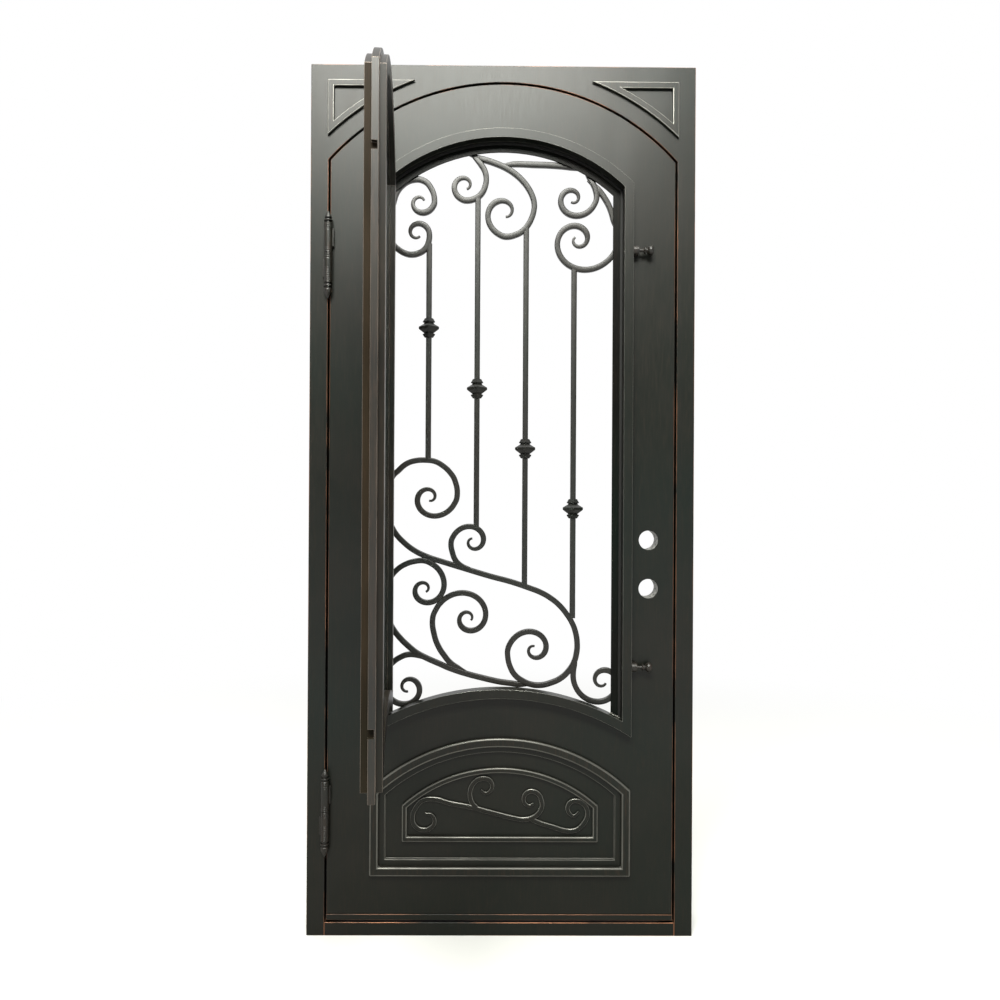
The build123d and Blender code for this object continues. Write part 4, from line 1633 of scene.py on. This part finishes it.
@dataclass
class Sash:
    """Glazed sash that stands open on the window trim."""

    finishes: Finishes
    edge_mm: float = 1.6
    axis: Point = (-336, -106)
    opened: float = 85.0
    lean_mm: float = 4.0
    flange: Point = (10.5, 25.5)
    foot_z: float = 800.0

    def place_across(self, spot: Vector, normal: Vector) -> float | None:
        """Gives the place of an outward face across the sash.

        Args:
            spot: The face's centre in millimetres.
            normal: Its normal.

        Returns:
            Distance from the hinge axis towards the outside of the shut door, or None where
            the face doesn't look away from the hinges.
        """
        turn = math.radians(self.opened)
        out = Vector((math.cos(turn), -math.sin(turn), 0))
        across = Vector((math.sin(turn), math.cos(turn), 0))
        if normal.dot(out) < 0.9:
            return None
        return (spot - Vector((*self.axis, 0))).dot(across)

    def on_front_layer(self, spot: Vector, normal: Vector, index: int) -> bool:
        """Tells whether a face is on the edge of the layer that the shut sash shows."""
        place = self.place_across(spot, normal)
        return index == 0 and place is not None and place < self.flange[0] + self.lean_mm

    def on_flange(self, spot: Vector, normal: Vector, index: int) -> bool:
        """Tells whether a face is on the edge of the wide flange."""
        place = self.place_across(spot, normal)
        return index == 0 and place is not None and place < self.flange[1]

    def on_foot(self, spot: Vector, normal: Vector, index: int) -> bool:
        """Tells whether a face is on top of the bottom rail, where the flat dark brown is painted shade
        thrown by the glass.
        """
        return normal.z > 0.3 and spot.z < self.foot_z

    def build(self) -> None:
        """Dresses the sash frame and its double glass."""
        f = self.finishes
        # The sash's rounded edges take the pale edge, partly painted highlight.
        sash = dress(
            ("sash_rail_top", "sash_stile_hinge", "sash_stile_free", "sash_rail_bottom"),
            Body.SASH,
            f.sash,
            f.pale_edge_and_highlight,
            self.edge_mm,
            name="welded_sash",
        )
        recoat(sash, f.sash_side, self.on_front_layer)
        recoat(sash, f.sash_flange, self.on_flange)
        # Painted shade: the top of the bottom rail takes the flat dark brown where the glass throws
        # shade.
        recoat(sash, f.sash_side, self.on_foot)
        for node in ("glass_inside", "glass_outside"):
            dress(node, Body.SASH, f.glass, None, 0.5, 1)
        dress("glass_spacer", Body.SASH, f.spacer, None, 0.4, 1)


@dataclass
class Bolts:
    """Sliding bolts with a collar and a flared knob, and their guides."""

    finishes: Finishes
    nose_x: float = 340
    axis_y: float = -89.5
    heights: tuple[float, float] = (1918, 757)
    profile: tuple[Point, ...] = (
        (0, 2.4),
        (0.8, 3.8),
        (2, 4.5),
        (52, 4.5),
        (52.4, 7.4),
        (53.4, 9.2),
        (55, 9.8),
        (56.6, 9.2),
        (57.6, 7.4),
        (58.2, 5.8),
        (60.6, 5.4),
        (62.4, 6.4),
        (63.4, 9),
        (65.6, 11.6),
        (68.4, 13.2),
        (71.6, 13.9),
        (74.6, 13.4),
        (77.2, 11.6),
        (79, 8.8),
        (80, 5),
    )

    def build(self) -> None:
        """Dresses the guides and turns the bolts."""
        f = self.finishes
        bodies = (("upper", Body.UPPER_BOLT), ("lower", Body.LOWER_BOLT))
        for (which, body), z in zip(bodies, self.heights):
            dress(f"{which}_bolt_guide", Body.LEAF, f.turned, None, 1.0)
            nose = Vector((self.nose_x, self.axis_y, z)) * MM
            bolt = object_from(
                lathe(list(self.profile), nose, Vector((1, 0, 0)), 40),
                f"turned_{which}_bolt",
                f.turned,
            )
            settle_normals(bolt, 50)
            stand_for(bolt, body, f"{which}_bolt")
            log.info("turned %s bolt", which)


@dataclass
class Studio:
    """Pale floor, white surround, soft light and the camera of the photograph."""

    lens: float = 30.174
    spot: tuple[float, float, float] = (-22.24, -2420.0, 1215.11)
    yaw: float = -0.00757
    pitch: float = 0.00234
    roll: float = -0.0055
    floor_size: float = 40.0
    lamp_tint: tuple[float, float, float] = (1.0, 1.0, 0.93)
    room_low: float = 0.085
    room_high: float = 0.8
    room_back: float = 0.4

    def camera(self) -> None:
        """Sets the camera where the photograph was taken."""
        data = bpy.data.cameras.new("camera")
        data.lens = self.lens
        data.sensor_width = 36
        data.clip_end = 100
        turn = (
            Matrix.Rotation(self.yaw, 4, "Z")
            @ Matrix.Rotation(self.pitch, 4, "X")
            @ Matrix.Rotation(self.roll, 4, "Y")
            @ Matrix.Rotation(math.pi / 2, 4, "X")
        )
        camera = linked("camera", data)
        camera.matrix_world = Matrix.Translation(Vector(self.spot) * MM) @ turn
        bpy.context.scene.camera = camera

    def floor(self) -> None:
        """Lays a pale floor that shows as white to the camera but keeps the shadow."""
        bm = bmesh.new()
        bmesh.ops.create_grid(bm, x_segments=1, y_segments=1, size=self.floor_size)
        material, tree = new_material("pale_studio_floor")
        where = add(tree, "ShaderNodeTexCoord").outputs["Object"]
        reach = add(tree, "ShaderNodeVectorMath", {"operation": "LENGTH"}, {0: where})
        far = add(
            tree,
            "ShaderNodeMapRange",
            {"interpolation_type": "SMOOTHSTEP", "From Min": 1.2, "From Max": 4.0},
            {"Value": reach.outputs["Value"]},
        )
        seen = self.background_ray(tree)
        fade = add(
            tree,
            "ShaderNodeMath",
            {"operation": "MULTIPLY"},
            {0: far.outputs[0], 1: seen},
        )
        pale = add(
            tree,
            "ShaderNodeBsdfPrincipled",
            {"Base Color": srgb("#a3a29f"), "Roughness": 0.8, "Specular IOR Level": 0.2},
        )
        bright = add(
            tree,
            "ShaderNodeBsdfPrincipled",
            {"Base Color": srgb("#f7f7f5"), "Roughness": 0.8, "Specular IOR Level": 0.2},
        )
        ray = add(tree, "ShaderNodeLightPath")
        near = add(
            tree,
            "ShaderNodeMixShader",
            links={0: ray.outputs["Is Camera Ray"], 1: pale.outputs[0], 2: bright.outputs[0]},
        )
        white = add(tree, "ShaderNodeEmission", {"Color": (1, 1, 1, 1), "Strength": 1.0})
        mix = add(
            tree,
            "ShaderNodeMixShader",
            links={0: fade.outputs[0], 1: near.outputs[0], 2: white.outputs[0]},
        )
        finish_surface(tree, mix)
        floor = object_from(bm, "studio_floor", material)

    def background_ray(self, tree: bpy.types.NodeTree) -> bpy.types.NodeSocket:
        """Tells the rays that show the white background from those that light the door.

        Args:
            tree: Node tree that asks.

        Returns:
            A value of 1 for camera, glossy and transmission rays.
        """
        ray = add(tree, "ShaderNodeLightPath")
        either = add(
            tree,
            "ShaderNodeMath",
            {"operation": "MAXIMUM"},
            {0: self.direct_ray(tree), 1: ray.outputs["Is Glossy Ray"]},
        )
        return either.outputs[0]

    def direct_ray(self, tree: bpy.types.NodeTree) -> bpy.types.NodeSocket:
        """Tells the camera's rays, also through glass, from all others."""
        ray = add(tree, "ShaderNodeLightPath")
        direct = add(
            tree,
            "ShaderNodeMath",
            {"operation": "MAXIMUM"},
            {0: ray.outputs["Is Camera Ray"], 1: ray.outputs["Is Transmission Ray"]},
        )
        return direct.outputs[0]

    def world(self) -> None:
        """Surrounds the scene with a white backdrop behind the door and a dim room before it."""
        world = bpy.data.worlds.new("studio")
        bpy.context.scene.world = world
        world.use_nodes = True
        tree = world.node_tree
        tree.nodes.clear()
        where = add(tree, "ShaderNodeTexCoord").outputs["Generated"]
        split = add(tree, "ShaderNodeSeparateXYZ", links={0: where})
        behind = add(
            tree,
            "ShaderNodeMapRange",
            {"interpolation_type": "SMOOTHSTEP", "From Min": -0.25, "From Max": 0.15},
            {"Value": split.outputs[1]},
        )
        mirrored = add(
            tree,
            "ShaderNodeMath",
            {"operation": "MULTIPLY"},
            {0: behind.outputs[0], 1: self.background_ray(tree)},
        )
        backdrop = add(
            tree,
            "ShaderNodeMath",
            {"operation": "MAXIMUM"},
            {0: mirrored.outputs[0], 1: self.direct_ray(tree)},
        )
        high = add(
            tree,
            "ShaderNodeMapRange",
            {"interpolation_type": "SMOOTHSTEP", "From Min": 0.1, "From Max": 0.9}
            | {"To Min": self.room_low, "To Max": self.room_high},
            {"Value": split.outputs[2]},
        )
        back = add(
            tree,
            "ShaderNodeMapRange",
            {"To Min": 0.0, "To Max": self.room_back},
            {"Value": behind.outputs[0]},
        )
        level = add(
            tree,
            "ShaderNodeMath",
            {"operation": "ADD"},
            {0: high.outputs[0], 1: back.outputs[0]},
        )
        soft = add(
            tree,
            "ShaderNodeBackground",
            {"Color": srgb("#f4f5f2")},
            {"Strength": level.outputs[0]},
        )
        white = add(tree, "ShaderNodeBackground", {"Color": (1, 1, 1, 1), "Strength": 1.0})
        mix = add(
            tree,
            "ShaderNodeMixShader",
            links={0: backdrop.outputs[0], 1: soft.outputs[0], 2: white.outputs[0]},
        )
        add(tree, "ShaderNodeOutputWorld", links={"Surface": mix.outputs[0]})

    def lamp(
        self,
        name: str,
        spot: tuple[float, float, float],
        aim: tuple[float, float, float],
        size: tuple[float, float],
        watts: float,
    ) -> None:
        """Hangs a soft rectangular lamp.

        Args:
            name: Name of the lamp.
            spot: Its place in metres.
            aim: Point that it faces.
            size: Width and height in metres.
            watts: Its power.
        """
        data = bpy.data.lights.new(name, "AREA")
        data.shape = "RECTANGLE"
        data.size, data.size_y = size
        data.energy = watts
        data.color = self.lamp_tint
        way = Vector(aim) - Vector(spot)
        turn = way.to_track_quat("-Z", "Y").to_matrix().to_4x4()
        lamp = linked(name, data)
        lamp.matrix_world = Matrix.Translation(spot) @ turn

    def build(self) -> None:
        """Sets up the whole studio."""
        self.camera()
        self.floor()
        self.world()
        self.lamp("front_softbox", (-0.35, -3.5, 4.5), (-0.1, 0, 1.9), (2.6, 1.3), 300)
        self.lamp("overhead_softbox", (-0.2, -1.1, 4.6), (-0.1, -0.7, 0), (2.6, 0.9), 60)
        bpy.context.scene.view_settings.view_transform = "Standard"


def main() -> None:
    """Builds every sub-assembly in order."""
    logging.basicConfig(level=logging.INFO, format="%(message)s")
    Studio().build()
    finishes = Finishes()
    DoorFrame(finishes).build()
    Leaf(finishes).build()
    LowerPanel(finishes).build()
    ScrollGrille(finishes).build()
    WeldBeads(finishes).build()
    Hinges(finishes).build()
    Sash(finishes).build()
    Bolts(finishes).build()
    bpy.context.view_layer.update()


if __name__ == "__main__":
    main()
